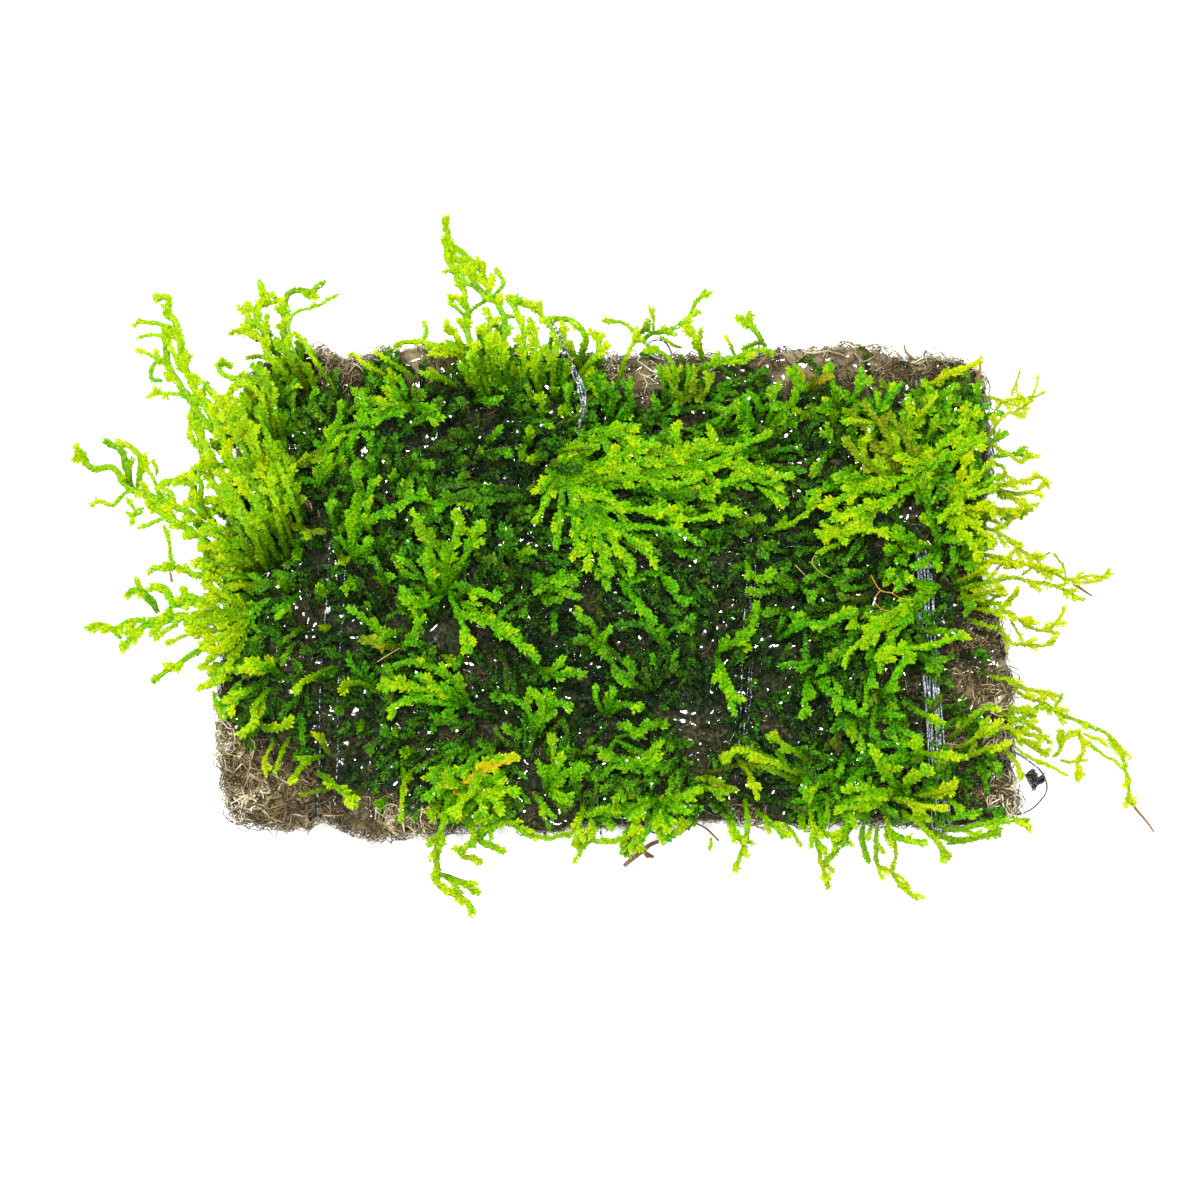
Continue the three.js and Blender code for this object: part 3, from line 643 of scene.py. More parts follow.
def leafy_stems(material: bpy.types.Material, plan: LeafPlan = LeafPlan()) -> Growth:
    """The tree that makes leafy ribbons from lines.

    Each line becomes a low three-sided stem. Small leaves lie on its top like scales and along its
    sides like the teeth of a comb, all with their flat side up, and they close over the tip. The
    lines carry the attributes girth, leafy, open, dense and tone.

    Args:
        material: The finish of stems and leaves.
        plan: How the leaves stand.

    Returns:
        The finished tree.
    """
    g = Growth("leafy stems")
    radius = g.size("Stem half width")
    spacing = g.size("Leaf spacing")
    length = g.size("Leaf length")
    width = g.size("Leaf width")
    pitch = g.size("Leaf pitch")
    leafy = g.attribute("leafy")
    loose = g.add("GeometryNodeMeshToCurve", {}, {"Mesh": g.mesh})
    line = g.add("GeometryNodeSetCurveNormal", {"mode": "Z_UP"}, {"Curve": loose})
    round_profile = g.add("GeometryNodeCurvePrimitiveCircle", {}, {"Resolution": 3, "Radius": radius})
    profile = g.add("GeometryNodeTransform", {}, {
        "Geometry": round_profile, "Scale": (plan.stem_flatness, 1.0, 1.0),
        "Rotation": (0.0, 0.0, -math.pi / 2)})
    shaded = g.marked(line, "tone", g.attribute("tone") - plan.stem_shade)
    stem = g.add("GeometryNodeCurveToMesh", {}, {
        "Curve": shaded, "Profile Curve": profile, "Scale": g.attribute("girth"), "Fill Caps": True})
    flat = g.add("GeometryNodeMeshCircle", {"fill_type": "NGON"}, {"Vertices": 4, "Radius": 1.0})
    along = g.add("ShaderNodeSeparateXYZ", {}, {"Vector": g.add("GeometryNodeInputPosition")})
    across = along.also("Y")
    up = (along * 0.5 + 0.5) ** plan.taper * plan.reach + plan.foot
    fold = abs(across) * plan.fold - up * up * plan.droop
    shape = g.add("ShaderNodeCombineXYZ", {}, {"X": fold, "Y": across * width, "Z": up})
    leaf = g.add("GeometryNodeFlipFaces", {}, {"Mesh": g.add(
        "GeometryNodeSetPosition", {}, {"Geometry": flat, "Position": shape})})
    steps = g.add("GeometryNodeResampleCurve", {"mode": "LENGTH"}, {"Curve": line, "Length": spacing})
    points = g.add("GeometryNodeCurveToPoints", {"mode": "EVALUATED"}, {"Curve": steps})
    golden_share = (math.sqrt(5) - 1) / 2
    swing = g.sum("FRACT", g.add("GeometryNodeInputIndex") * golden_share, 0.0) * 2 - 1
    turn = swing * plan.fan - math.pi / 2 + g.chance(-plan.turn_chance, plan.turn_chance, 1)
    stand = abs(swing) * (1 - plan.flattest) + plan.flattest
    tilt = pitch * g.attribute("open") * stand + g.chance(-plan.tilt_chance, plan.tilt_chance, 2)
    roll = swing * -plan.roll + g.chance(-plan.roll_chance, plan.roll_chance, 6)
    facing = g.turned(g.turned(points.also("Rotation"), (0, 0, 1), turn), (0, 1, 0), tilt)
    facing = g.turned(facing, (0, 0, 1), roll)
    varied = g.marked(points, "tone", g.attribute("tone") + g.chance(*plan.shades, 5))
    leaves = g.add("GeometryNodeInstanceOnPoints", {}, {
        "Points": varied, "Selection": g.attribute("dense") > g.chance(0.0, 1.0, 4), "Instance": leaf,
        "Rotation": facing, "Scale": length * leafy * g.chance(*plan.scales, 3)})
    return g.finish([stem, leaves], material)


@dataclass(frozen=True)
class CurlPlan:
    """How a strand curls, in radians, and how it is bent further, in millimetres."""

    points: int = 7
    sweep: float = 4.4
    tilt: float = 0.55
    scales: tuple[float, float] = (0.55, 1.5)
    shades: tuple[float, float] = (0.1, 1.0)
    wave_scale: float = 700.0
    wave: tuple[float, float, float] = (4.0, 4.0, 2.4)
    wave_start: tuple[float, float, float] = (-2.0, -2.0, -1.0)


def curled_fibres(material: bpy.types.Material, plan: CurlPlan = CurlPlan()) -> Growth:
    """The tree that scatters curled strands over a surface, more where the attribute bare is high.

    Args:
        material: The finish of the strands.
        plan: How they curl.

    Returns:
        The finished tree.
    """
    g = Growth("curled fibres")
    density = g.size("Strands for each square metre")
    thickness = g.size("Strand radius")
    curl = g.size("Curl radius")
    points = g.add("GeometryNodeDistributePointsOnFaces", {"distribute_method": "RANDOM"}, {
        "Mesh": g.mesh, "Density": density * g.attribute("bare"), "Seed": SEED})
    arc = g.add("GeometryNodeCurveArc", {"mode": "RADIUS"}, {
        "Resolution": plan.points, "Radius": curl, "Sweep Angle": plan.sweep})
    spot = g.add("GeometryNodeInputPosition")
    wave = g.add("ShaderNodeTexNoise", {}, {
        "Vector": spot, "Scale": plan.wave_scale, "Detail": 1.0}, output=1)
    swing, start = (tuple(part * MM for part in parts) for parts in (plan.wave, plan.wave_start))
    shift = g.add("ShaderNodeVectorMath", {"operation": "MULTIPLY_ADD"}, {0: wave, 1: swing, 2: start})
    facing = g.turned(points.also("Rotation"), (0, 0, 1), g.chance(0.0, 2 * math.pi, 11))
    facing = g.turned(facing, (1, 0, 0), g.chance(-plan.tilt, plan.tilt, 12))
    strands = g.add("GeometryNodeInstanceOnPoints", {}, {
        "Points": points, "Instance": arc, "Rotation": facing, "Scale": g.chance(*plan.scales, 13)})
    # A strand's shade is a chance tone times the attribute pale, which holds painted shade under the moss.
    shaded = g.marked(strands, "shade", g.chance(*plan.shades, 14) * g.attribute("pale"), "INSTANCE")
    loose = g.add("GeometryNodeRealizeInstances", {}, {"Geometry": shaded})
    bent = g.add("GeometryNodeSetPosition", {}, {"Geometry": loose, "Offset": shift})
    where = g.add("ShaderNodeSeparateXYZ", {}, {"Vector": spot})
    above = g.add("ShaderNodeCombineXYZ", {}, {
        "X": where, "Y": where.also("Y"), "Z": g.sum("MAXIMUM", where.also("Z"), thickness)})
    bent = g.add("GeometryNodeSetPosition", {}, {"Geometry": bent, "Position": above})
    return g.finish([g.tube(bent, thickness, 3)], material)


def round_line(material: bpy.types.Material) -> Growth:
    """The tree that makes round line, thread or twig from lines that carry the attribute girth.

    Args:
        material: The finish of the line.

    Returns:
        The finished tree.
    """
    g = Growth("round line")
    radius = g.size("Line radius")
    line = g.add("GeometryNodeMeshToCurve", {}, {"Mesh": g.mesh})
    return g.finish([g.tube(line, radius, 6, g.attribute("girth"))], material)


def smooth_line(points: np.ndarray, step: float) -> np.ndarray:
    """Lays a smooth line through given points.

    Args:
        points: The points in order, one row each.
        step: About how far apart the result's points are.

    Returns:
        Evenly spaced points from the first to the last.
    """
    ends = np.vstack([2 * points[0] - points[1], points, 2 * points[-1] - points[-2]])
    t = np.linspace(0, 1, 8, endpoint=False)[:, None]
    spans = [0.5 * (2 * b + (c - a) * t + (2 * a - 5 * b + 4 * c - d) * t**2
                    + (3 * b - a - 3 * c + d) * t**3)
             for a, b, c, d in zip(ends, ends[1:], ends[2:], ends[3:])]
    line = np.vstack([*spans, points[-1:]])
    along = distance_along(line)
    even = np.linspace(0, along[-1], max(4, round(along[-1] / step) + 1))
    return np.stack([np.interp(even, along, line[:, i]) for i in range(line.shape[1])], axis=1)


def distance_along(line: np.ndarray) -> np.ndarray:
    """How far along a line each of its points is."""
    return np.concatenate([[0.0], np.cumsum(np.linalg.norm(np.diff(line, axis=0), axis=1))])


def line_piece(name: str, lines: list[np.ndarray], marks: dict[str, list[np.ndarray]]) -> bpy.types.Object:
    """Makes an object of bare lines.

    Args:
        name: The piece's name.
        lines: Points of each line, in millimetres.
        marks: By attribute name, a number for each point of each line.

    Returns:
        The object, whose mesh has vertices and edges only.
    """
    mesh = bpy.data.meshes.new(name)
    edges = []
    start = 0
    for line in lines:
        edges += [(start + i, start + i + 1) for i in range(len(line) - 1)]
        start += len(line)
    mesh.from_pydata((np.vstack(lines) * MM).tolist(), edges, [])
    for label, numbers in marks.items():
        mark(mesh, label, np.concatenate(numbers))
    return put(name, mesh)


def settled(piece: bpy.types.Object, slot: str, *nodes: str) -> None:
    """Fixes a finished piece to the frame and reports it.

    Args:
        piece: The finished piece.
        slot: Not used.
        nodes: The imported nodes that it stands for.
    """
    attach(piece, ROOT)
    if nodes:
        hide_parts(*nodes)
    log.info("%s: %d faces", piece.name, len(piece.data.polygons))


@dataclass(frozen=True)
class Habit:
    """How one kind of stem looks from its foot to its tip."""

    girth: float = 0.85
    foot_tone: float = 0.35
    tip_tone: float = 0.8
    gold: float = 0.05
    leafy: float = 1.0
    lobes: float = 0.3
    wobble: float = 0.22
    dense: float = 1.0

    def tones(self, part: np.ndarray) -> np.ndarray:
        """Its tone at each share of its length, from foot to tip."""
        return self.foot_tone + (self.tip_tone - self.foot_tone) * np.clip(part * 1.5, 0, 1) ** 0.8


@dataclass
class Stems:
    """Stems of one piece: their lines, with what the leaves look like at each point."""

    lines: list[np.ndarray] = field(default_factory=list)
    marks: dict[str, list[np.ndarray]] = field(
        default_factory=lambda: {key: [] for key in ("girth", "leafy", "open", "dense", "tone", "gold")})
    wander: tuple[float, float, float] = (0.35, 0.35, 0.2)
    girths: tuple[float, float] = (0.85, 1.15)
    foot_girth: float = 1.06
    thinning: float = 0.14
    waist: float = 0.55
    foot_length: float = 4.0
    gold_chance: float = 0.03
    tone_chance: float = 0.07
    foot_leaves: float = 0.8
    leaf_scales: tuple[float, float] = (0.72, 1.28)
    crown: float = 0.38
    crown_length: float = 0.6
    bud_open: float = 0.6
    bud_length: float = 1.1
    lobe_sides: tuple[float, float] = (0.5, 1.0)
    lobe_rises: tuple[float, float] = (-0.1, 0.3)
    lobe_lengths: tuple[float, float] = (0.9, 2.1)
    lobe_bend: float = 0.35
    lobe_girth: float = 0.92
    lobe_brighter: float = 0.1

    def grow(self, line: np.ndarray, habit: Habit, rng: np.random.Generator, lobes: bool = True) -> None:
        """Adds a stem, and short side lobes along it.

        Args:
            line: Even points from foot to tip, in millimetres.
            habit: How the stem looks.
            rng: Where chance comes from.
            lobes: Whether side lobes grow on it.
        """
        along = distance_along(line)
        part = along / along[-1]
        left = along[-1] - along
        wave = np.cumsum(rng.normal(0, 1, (len(line), 3)), axis=0)
        wave -= part[:, None] * wave[-1]
        line = line + wave * habit.wobble * np.array(self.wander)
        gold = np.clip(habit.gold + rng.normal(0, self.gold_chance), 0, 1)
        girth = habit.girth * rng.uniform(*self.girths)
        self.lines.append(line)
        waist = np.clip(self.waist + along / self.foot_length, 0, 1)
        self.marks["girth"].append(girth * (self.foot_girth - self.thinning * part) * waist)
        self.marks["dense"].append(np.full(len(line), habit.dense))
        crown = self.crown * np.exp(-((left - self.crown_length) / self.crown_length) ** 2)
        swell = rng.uniform(*self.leaf_scales, len(line)) + crown
        foot = np.clip(self.foot_leaves + part, 0, 1)
        self.marks["leafy"].append(habit.leafy * girth**0.5 * swell * foot)
        self.marks["open"].append(np.clip(self.bud_open + left / self.bud_length, 0, 1))
        rise = habit.tones(part)
        self.marks["tone"].append(rise + rng.normal(0, self.tone_chance))
        self.marks["gold"].append(gold * np.clip(rise * 1.6, 0, 1) ** 2)
        if lobes:
            self._grow_lobes(line, part, rise, habit, rng)

    def _grow_lobes(self, line: np.ndarray, part: np.ndarray, tone: np.ndarray, habit: Habit,
                    rng: np.random.Generator) -> None:
        """Adds short blunt side stems at chance places of a stem.

        Args:
            line: The stem's points.
            part: Each point's share of the stem's length.
            tone: Each point's tone.
            habit: How the stem looks.
            rng: Where chance comes from.
        """
        for i in range(2, len(line) - 1):
            if rng.random() > habit.lobes:
                continue
            heading = line[i + 1] - line[i - 1]
            heading /= np.linalg.norm(heading)
            side = rng.choice([-1, 1]) * rng.uniform(*self.lobe_sides)
            out = np.array([heading[0] - side * heading[1], heading[1] + side * heading[0],
                            rng.uniform(*self.lobe_rises)])
            reach = rng.uniform(*self.lobe_lengths) * (0.7 + 0.4 * (1 - part[i]))
            steps = np.linspace(0, 1, 4)[:, None]
            bend = heading * self.lobe_bend
            lobe = line[i] + (out / np.linalg.norm(out) * steps + bend * steps**2) * reach
            bright = float(np.clip(tone[i] + self.lobe_brighter, 0, 1))
            look = Habit(habit.girth * self.lobe_girth, bright, bright + 0.05, habit.gold, habit.leafy)
            self.grow(lobe, look, rng, False)

    def piece(self, name: str, tree: Growth, sizes: dict[str, float]) -> bpy.types.Object:
        """Makes the leafy piece of all stems so far.

        Args:
            name: The piece's name.
            tree: The tree that makes stems leafy.
            sizes: The tree's sizes.

        Returns:
            The finished piece.
        """
        made = line_piece(name, self.lines, self.marks)
        tree.grown(made, sizes)
        return made


LEAF_SIZES = {
    "Stem half width": 0.64 * MM,
    "Leaf spacing": 0.088 * MM,
    "Leaf length": 0.78 * MM,
    "Leaf width": 0.28,
    "Leaf pitch": 0.95,
}
STEM_STEP = 0.9


def courses(text: str) -> list[np.ndarray]:
    """Reads courses written as pixels, "x,y x,y ...", with a slash between courses."""
    return [np.array([[float(part) for part in pair.split(",")] for pair in one.split()])
            for one in text.split("/") if one.strip()]


@dataclass(frozen=True)
class Droop:
    """How stems sink to the table past the mat's edge."""

    reach: tuple[float, float] = (62.0, 38.0)
    table: float = 1.35
    softness: float = 3.4
    wave: float = 0.7
    top: float = 19.6
    bed: float = 10.8
    rooting: float = 6.0
    rooting_curve: float = 1.5

    def outside(self, place: np.ndarray) -> float:
        """How far a place is past the mat's edge, or less than nought inside it."""
        past = np.abs(place[:2]) - self.reach
        return float(np.hypot(*np.maximum(past, 0)) + min(past.max(), 0))

    @staticmethod
    def lumps(x: float, y: float) -> float:
        """Makes slow waves.

        Args:
            x: The place from left to right, in millimetres.
            y: The place from front to back.

        Returns:
            The wave's height there, between -1 and 1.
        """
        across = math.sin(x * 0.55 + 1.3 * math.sin(y * 0.31))
        down = math.sin(y * 0.62 + 1.7 * math.sin(x * 0.23))
        return (across + down) / 2

    def held(self, place: np.ndarray, hang: float) -> float:
        """The share of its height that a stem keeps at a place."""
        return 1 / (1 + math.exp((self.outside(place) - hang) / self.softness))

    def lay(self, course: np.ndarray, crest: float, hang: float, lift: float = 0.0,
            rooted: bool = True) -> np.ndarray:
        """Lays a stem over the mat and down past its edge.

        Args:
            course: Pixels from tip to foot.
            crest: Height over the mat.
            hang: How far past the mat's edge it has sunk halfway.
            lift: How far it lies over its neighbours.
            rooted: Whether its foot goes down into the bed.

        Returns:
            Even points from foot to tip.
        """
        points = []
        for pixel in course[::-1]:
            place = PHOTO.placed(pixel, PHOTO.mat_top)
            rise = crest + lift - self.table + self.wave * self.lumps(place[1], place[0])
            height = min(self.table + rise * self.held(place, hang), self.top)
            points.append(PHOTO.placed(pixel, height))
        line = smooth_line(np.array(points), STEM_STEP)
        if rooted:
            sunk = np.clip(1 - distance_along(line) / self.rooting, 0, 1) ** self.rooting_curve
            line[:, 2] -= np.maximum(line[:, 2] - self.bed, 0) * sunk
        return line


@dataclass(frozen=True)
class Frond:
    """A spray of leafy stems, thinner twigs and dead tips, each a list of courses from tip to foot."""

    name: str
    crest: float
    hang: float
    stems: str
    twigs: str = ""
    dead: str = ""
    girth: float = 0.8
    bright: float = 0.0


FRONDS = (
    Frond(
        "left_tall", 18, 8.5,
        "157,298 163,296 170,297 171,306 167,314 175,317 180,326 180,340 182,352 186,366 189,378 195,388 "
        "205,400 215,412 228,428 240,445 252,465 268,490 275,520/165,328 165,340 167,352 168,362 172,372 "
        "182,386 190,398 196,410 210,428 225,450/200,400 215,425 232,455 248,490 262,525 275,560/215,395 "
        "232,420 250,450 265,480 280,510 290,545/195,420 208,445 222,470 238,500 252,535 262,570/205,385 "
        "225,412 245,440 262,470 278,500 288,530/190,436 205,462 218,488 232,515 246,545",
        "167,341 172,350 178,360 183,372/136,324 141,321 150,322 160,324 176,328/139,338 148,335 160,335 "
        "172,337 180,340/139,351 147,353 156,358 163,362 168,368/163,360 155,362 151,368 150,376 153,380 "
        "162,380/148,397 155,393 164,394 172,395 182,397 188,400/208,382 203,390 204,400/190,432 191,418 "
        "192,405",
        "199,450 204,456 212,460", girth=1.0),
    Frond(
        "left_shoulder", 20, 7,
        "227,363 217,368 222,374 230,377 240,377 250,383 260,400 268,425 275,450/226,400 232,390 243,385 "
        "255,390 262,402 262,415 255,425 245,432/240,405 250,430 262,460 270,490/228,420 242,445 "
        "255,475", girth=1.0),
    Frond(
        "top_left", 17.6, 8,
        "248,306 246,313 247,322 252,332 262,345 272,360 285,375 295,390/260,284 262,291 263,300 257,310 "
        "256,320 262,332 270,345 280,360/322,284 316,288 310,292 300,290 293,290 287,296 284,305 283,315 "
        "284,328 287,342 293,358 300,375 305,392",
        "278,300 270,296 263,292/262,306 270,303 280,300 288,297/230,334 237,329 243,330 248,333 255,340/"
        "267,318 266,326 270,335/297,335 305,343 312,355 320,366 328,378 335,392/247,358 255,355 264,357 "
        "272,362",
        girth=0.95),
    Frond(
        "top_left_hook", 19, 9.5, "",
        "337,295 328,300 322,304 312,308 302,310 295,314 292,320 290,330 293,345 300,362 "
        "312,380", girth=0.6),
    Frond(
        "top_edge", 16.6, 6,
        "394,348 400,344 410,343 420,343 430,345 440,348 450,351 462,353 470,356 484,372/432,354 445,354 "
        "458,355 470,362/390,370 392,382 396,393 404,397/422,373 430,377 440,380 450,383 460,388/380,402 "
        "388,405 397,403 408,407 416,412 420,418",
        "424,323 426,330 424,338 421,343/349,355 355,353 362,360 370,365 378,370 386,375 392,380/375,352 "
        "382,356 390,360 398,367 406,373 412,380"),
    Frond(
        "peak_left", 18, 9,
        "445,219 446,228 448,238 446,246 446,256 450,265 455,272 458,282 463,290 464,300 467,310 469,322 "
        "471,335 473,348 478,360 482,372 490,396/447,323 450,329 456,333 461,341 467,349 473,356/476,345 "
        "470,360 478,380 484,400",
        "444,272 450,271 456,274/453,299 451,304 456,308 461,312 466,318/459,320 463,327 "
        "468,333", girth=0.95),
    Frond(
        "peak_right", 20.5, 9,
        "446,244 453,247 460,252 468,258 475,263 480,270 484,278 488,287 490,296 496,300 502,310 505,322 "
        "504,335 502,348 503,362 512,392/450,255 458,260 466,264 472,272 474,282 480,290 487,296/484,331 "
        "488,338 493,345 498,355/486,310 490,325 488,340 494,360 500,380",
        "462,270 463,280 470,285 478,287/468,313 476,307 484,302 492,298/496,270 501,276 504,282 501,289 "
        "495,295 490,298/483,264 482,272/492,323 498,328 503,335", girth=0.9),
    Frond(
        "arch", 17.6, 8,
        "511,300 515,308 519,316 522,328 524,340 525,355 526,370 530,392/512,301 520,302 530,306 538,311 "
        "546,318 552,324 556,333 556,345 553,360 552,375 550,390/553,319 562,319 570,320 578,325 584,333 "
        "586,342 582,352 586,362/597,336 599,345 597,355 592,362 585,370 570,385/560,330 566,342 572,352 "
        "578,362 583,372/530,320 534,340 538,358 536,378 540,395",
        "505,315 512,317 520,316"),
    Frond(
        "top_middle", 16.6, 7,
        "605,321 612,322 620,323 628,328 634,335 640,341 648,347 657,352 665,358 670,366 672,378 673,390 "
        "670,402", girth=0.6),
    Frond(
        "antler", 18.5, 8,
        "640,340 634,344 630,352 625,360 622,372 620,385/705,291 702,297 697,302 693,307 690,314 687,321 "
        "682,325 676,330 668,334 660,335 652,334 647,338 640,340/687,321 692,328 696,335 700,343 703,352 "
        "705,360",
        "653,309 654,316 653,324 652,333/660,337 668,341 676,345 683,345/680,353 684,360", girth=0.66),
    Frond(
        "top_right", 17.2, 6,
        "770,353 760,350 750,350 740,353 730,356 718,360 705,366 690,372/738,317 745,319 751,324 757,332 "
        "762,338 767,345/744,349 750,345 757,342 764,343",
        "725,337 728,343 732,350 736,355",
        "770,352 765,358 758,366"),
    Frond(
        "top_right_corner", 16.6, 6,
        "980,363 972,366 962,370 950,373 938,380 925,385/935,396 928,406 917,420 904,438",
        "", "980,363 980,372 977,382/904,345 906,352 912,358", girth=0.7, bright=0.08),
    Frond(
        "right_thin", 17.2, 7,
        "1023,399 1015,400 1008,399 1000,399 992,396 985,394/1032,400 1024,407 1015,412 1006,416 998,421 "
        "994,427 991,436 982,442/1031,455 1023,458 1017,457 1010,452 1002,448 995,443 985,445",
        "1044,392 1038,396 1033,398 1023,399/1012,396 1015,387 1019,377 1023,368/1038,376 1036,387 "
        "1033,397/1010,399 1002,403 998,410 1000,417", girth=0.5, bright=0.12),
    Frond(
        "right_knobs", 19, 8,
        "1046,480 1038,477 1030,481 1020,483 1010,486 1000,485 985,488/1044,483 1038,488 1030,492 "
        "1020,494 1012,490/1031,510 1023,507 1015,501 1008,495 1003,487/1020,509 1010,510 1000,512 "
        "985,515/1020,511 1014,518 1008,525 1000,529/1003,480 1006,472 1004,465 "
        "995,460", girth=0.55, bright=0.12),
    Frond(
        "right_long", 18, 8,
        "1111,574 1106,576 1100,579 1092,576 1082,578 1072,580 1062,578 1052,574 1042,568 1034,561 "
        "1026,555 1020,552 1015,547 1008,540 1000,533 985,525/1050,574 1040,569 1030,564 1020,562 "
        "1010,560 1000,557 990,555 980,553/1000,562 980,563 970,563",
        "1038,560 1043,556 1050,552/1054,554 1060,560 1064,568 1066,577/1015,548 1012,556 1005,562 "
        "1000,568 997,575/1022,562 1015,566 1007,568/1036,565 1030,570 1023,575",
        "1092,596 1083,590 1074,584", girth=0.52, bright=0.12),
    Frond(
        "right_reach", 19.5, 6,
        "1083,599 1075,595 1068,590 1060,585 1050,582 1040,581 1030,578 1020,575 1010,576 998,579 985,583 "
        "972,586 960,590",
        "1100,580 1092,583 1082,583 1072,582", girth=0.5, bright=0.12),
    Frond(
        "right_curve", 18, 7,
        "1064,608 1063,616 1059,623 1052,629 1044,633 1036,631 1028,626 1020,620 1012,615 1003,613 "
        "990,612 975,610/1053,642 1045,645 1035,645 1025,643 1015,643 1008,638 1004,630 1000,622/1018,589 "
        "1014,596 1008,602 1003,608",
        "1006,595 998,596 992,602 985,608/1000,596 993,595 985,588/1022,640 1020,634 1016,626 1012,618/"
        "1008,650 1007,640 1003,630", girth=0.6, bright=0.1),
    Frond(
        "right_low", 18.5, 5,
        "1056,695 1045,692 1035,692 1025,690 1015,685 1008,680 992,676/1040,701 1030,700 1022,695 "
        "1015,688", girth=0.55, bright=0.1),
    Frond(
        "right_trail", 18, 6,
        "1130,801 1127,792 1127,782 1124,772 1121,763 1119,755 1115,747 1108,740 1100,735 1090,730 "
        "1080,725 1070,721 1060,716 1050,709 1041,703 1035,707 1030,712 1022,718 1012,724/1077,779 "
        "1078,768 1079,760 1083,752 1085,743 1083,734 1077,728 1070,730 1064,738 1060,748 1052,757/"
        "1047,736 1040,736 1030,734 1020,730 1010,726 1000,727 990,729 980,736 970,744 960,750/1040,731 "
        "1032,727 1025,722 1010,716 1000,712/1046,755 1038,749 1030,743 1022,738 1010,732/1021,776 "
        "1017,765 1010,755 1005,745/1034,716 1022,712 1010,708",
        "1054,708 1060,700 1062,693/1107,746 1100,741 1092,737 1083,733/1120,766 1114,760 1105,756 "
        "1095,749 1085,742/1087,760 1080,761 1070,762 1060,760/1067,775 1060,772 1050,766 1040,762 "
        "1030,758 1022,752 1015,745",
        "1154,832 1147,822 1141,815 1135,808 1130,801", girth=0.66, bright=0.08),
    Frond(
        "bottom_right", 18, 7,
        "1027,820 1018,819 1008,820 998,822 988,824 978,826 968,828 955,829 945,828 935,820/948,856 "
        "942,848 935,838 925,828 915,820 905,812/923,843 915,841 905,839 896,836 888,828/965,757 955,755 "
        "945,757 935,755 925,754 915,755 905,758/955,787 948,790 938,795 928,798 918,798/945,808 935,808 "
        "920,806 905,803 895,800",
        "979,833 973,837 965,841 955,844 948,845"),
    Frond(
        "bottom_loop", 18.5, 5,
        "917,899 912,896 907,891 900,885 897,880 893,873 887,870 880,866 877,860 876,848 877,838 880,828/"
        "893,870 894,863 896,852 894,842 890,832 888,818", girth=0.6, bright=0.06),
    Frond(
        "bottom_spike", 18, 6,
        "828,886 826,878 823,868 820,858 818,845 815,835 812,825 810,805/826,862 832,856 838,848 845,840 "
        "850,833 855,828/838,836 826,835 818,832",
        "833,871 828,866 824,860/853,846 849,842 845,838"),
    Frond(
        "bottom_middle", 18, 5,
        "735,868 738,858 742,848 745,838 747,828 748,818 746,800/740,840 736,832 730,822 722,815/783,835 "
        "778,828 770,822 756,812/724,758 735,750 745,752 755,755 765,758 775,762 785,766 795,771 805,775 "
        "815,778/757,797 755,785 750,775 743,765 737,755",
        "752,844 745,840/710,848 712,838/715,783 722,786 730,790 738,795/800,845 795,835 786,826"),
    Frond(
        "bottom_centre", 18, 5.5,
        "620,840 612,841 602,842 594,838 594,825 590,810/576,845 577,835 580,820 583,805/637,848 636,835 "
        "637,820 630,806/688,822 680,830 670,835 660,830 645,822",
        "580,856 581,848 588,843 594,838/632,834 622,838 612,840 600,842"),
    Frond(
        "bottom_left", 18, 5,
        "473,910 469,903 464,898 458,894 450,890 443,886 438,880 437,872 437,862 438,850 441,838 444,825 "
        "446,812 447,800/477,892 470,888 462,884 455,879 448,876 440,873/479,862 473,858 465,856 461,850 "
        "466,844 474,838 473,830 470,820/504,851 497,848 490,845 482,842 474,838",
        "491,838 490,832 486,822", girth=0.9),
    Frond(
        "bottom_arch", 16.4, 5.5,
        "578,829 570,832 560,835 550,838 540,837 530,835 520,828 510,822 500,818", girth=0.6),
    Frond(
        "left_reach", 18, 9,
        "75,459 80,454 85,456 88,464 95,469 105,468 113,468 119,474 122,483 128,488 140,491 152,496 "
        "165,503 180,510 195,518 210,528 225,540 240,555/107,442 114,446 122,452 125,462 128,472 130,482 "
        "133,488/121,444 128,445 136,452 140,460 140,470 138,480 136,488/150,505 170,518 190,530 208,545 "
        "225,560/148,498 165,512 182,526 200,540 220,552",
        "143,462 146,470 152,476 156,483 158,492 163,500/153,462 157,468 156,476/92,504 98,501 105,503 "
        "112,506 118,499 124,493 128,490/128,500 133,506 136,514/127,513 135,514 143,512/132,524 133,516 "
        "138,510 145,508/140,527 148,526 155,522 165,520/165,528 168,537 170,547 170,555 173,562 180,567",
        girth=0.9),
    Frond(
        "left_crown", 20, 10,
        "160,486 166,482 175,480 184,481 190,484 192,492 190,500 200,512 214,525/188,477 196,470 204,467 "
        "212,464 222,463 235,465/199,478 202,486 200,495 200,508 208,520",
        "162,487 168,492 175,497/196,470 192,480 194,492 198,500", girth=1.0),
    Frond(
        "left_arm", 18, 6.5,
        "151,570 158,568 166,569 175,566 183,569 192,572 202,573 215,574 228,576 245,578/208,500 215,502 "
        "224,500 238,506/205,511 215,510 225,508 240,514/200,548 212,552 226,558 240,568",
        "212,557 216,563 218,572/209,580 213,587 217,592",
        "170,572 172,582", girth=0.95),
    Frond(
        "left_low", 16.6, 7.5,
        "89,628 96,624 104,624 112,628 120,625 128,620 137,618 147,618 158,616 170,613 185,612 200,612 "
        "215,612 232,610 250,606/129,593 136,591 143,592 149,598 154,605 158,613/151,588 158,586 165,588 "
        "170,595 176,601 183,606/184,597 190,596 197,600 203,607/122,646 130,640 138,634 147,628 156,625 "
        "165,622 180,618/154,680 165,672 178,664 190,655 200,650 215,645/207,603 215,598 228,590 240,586 "
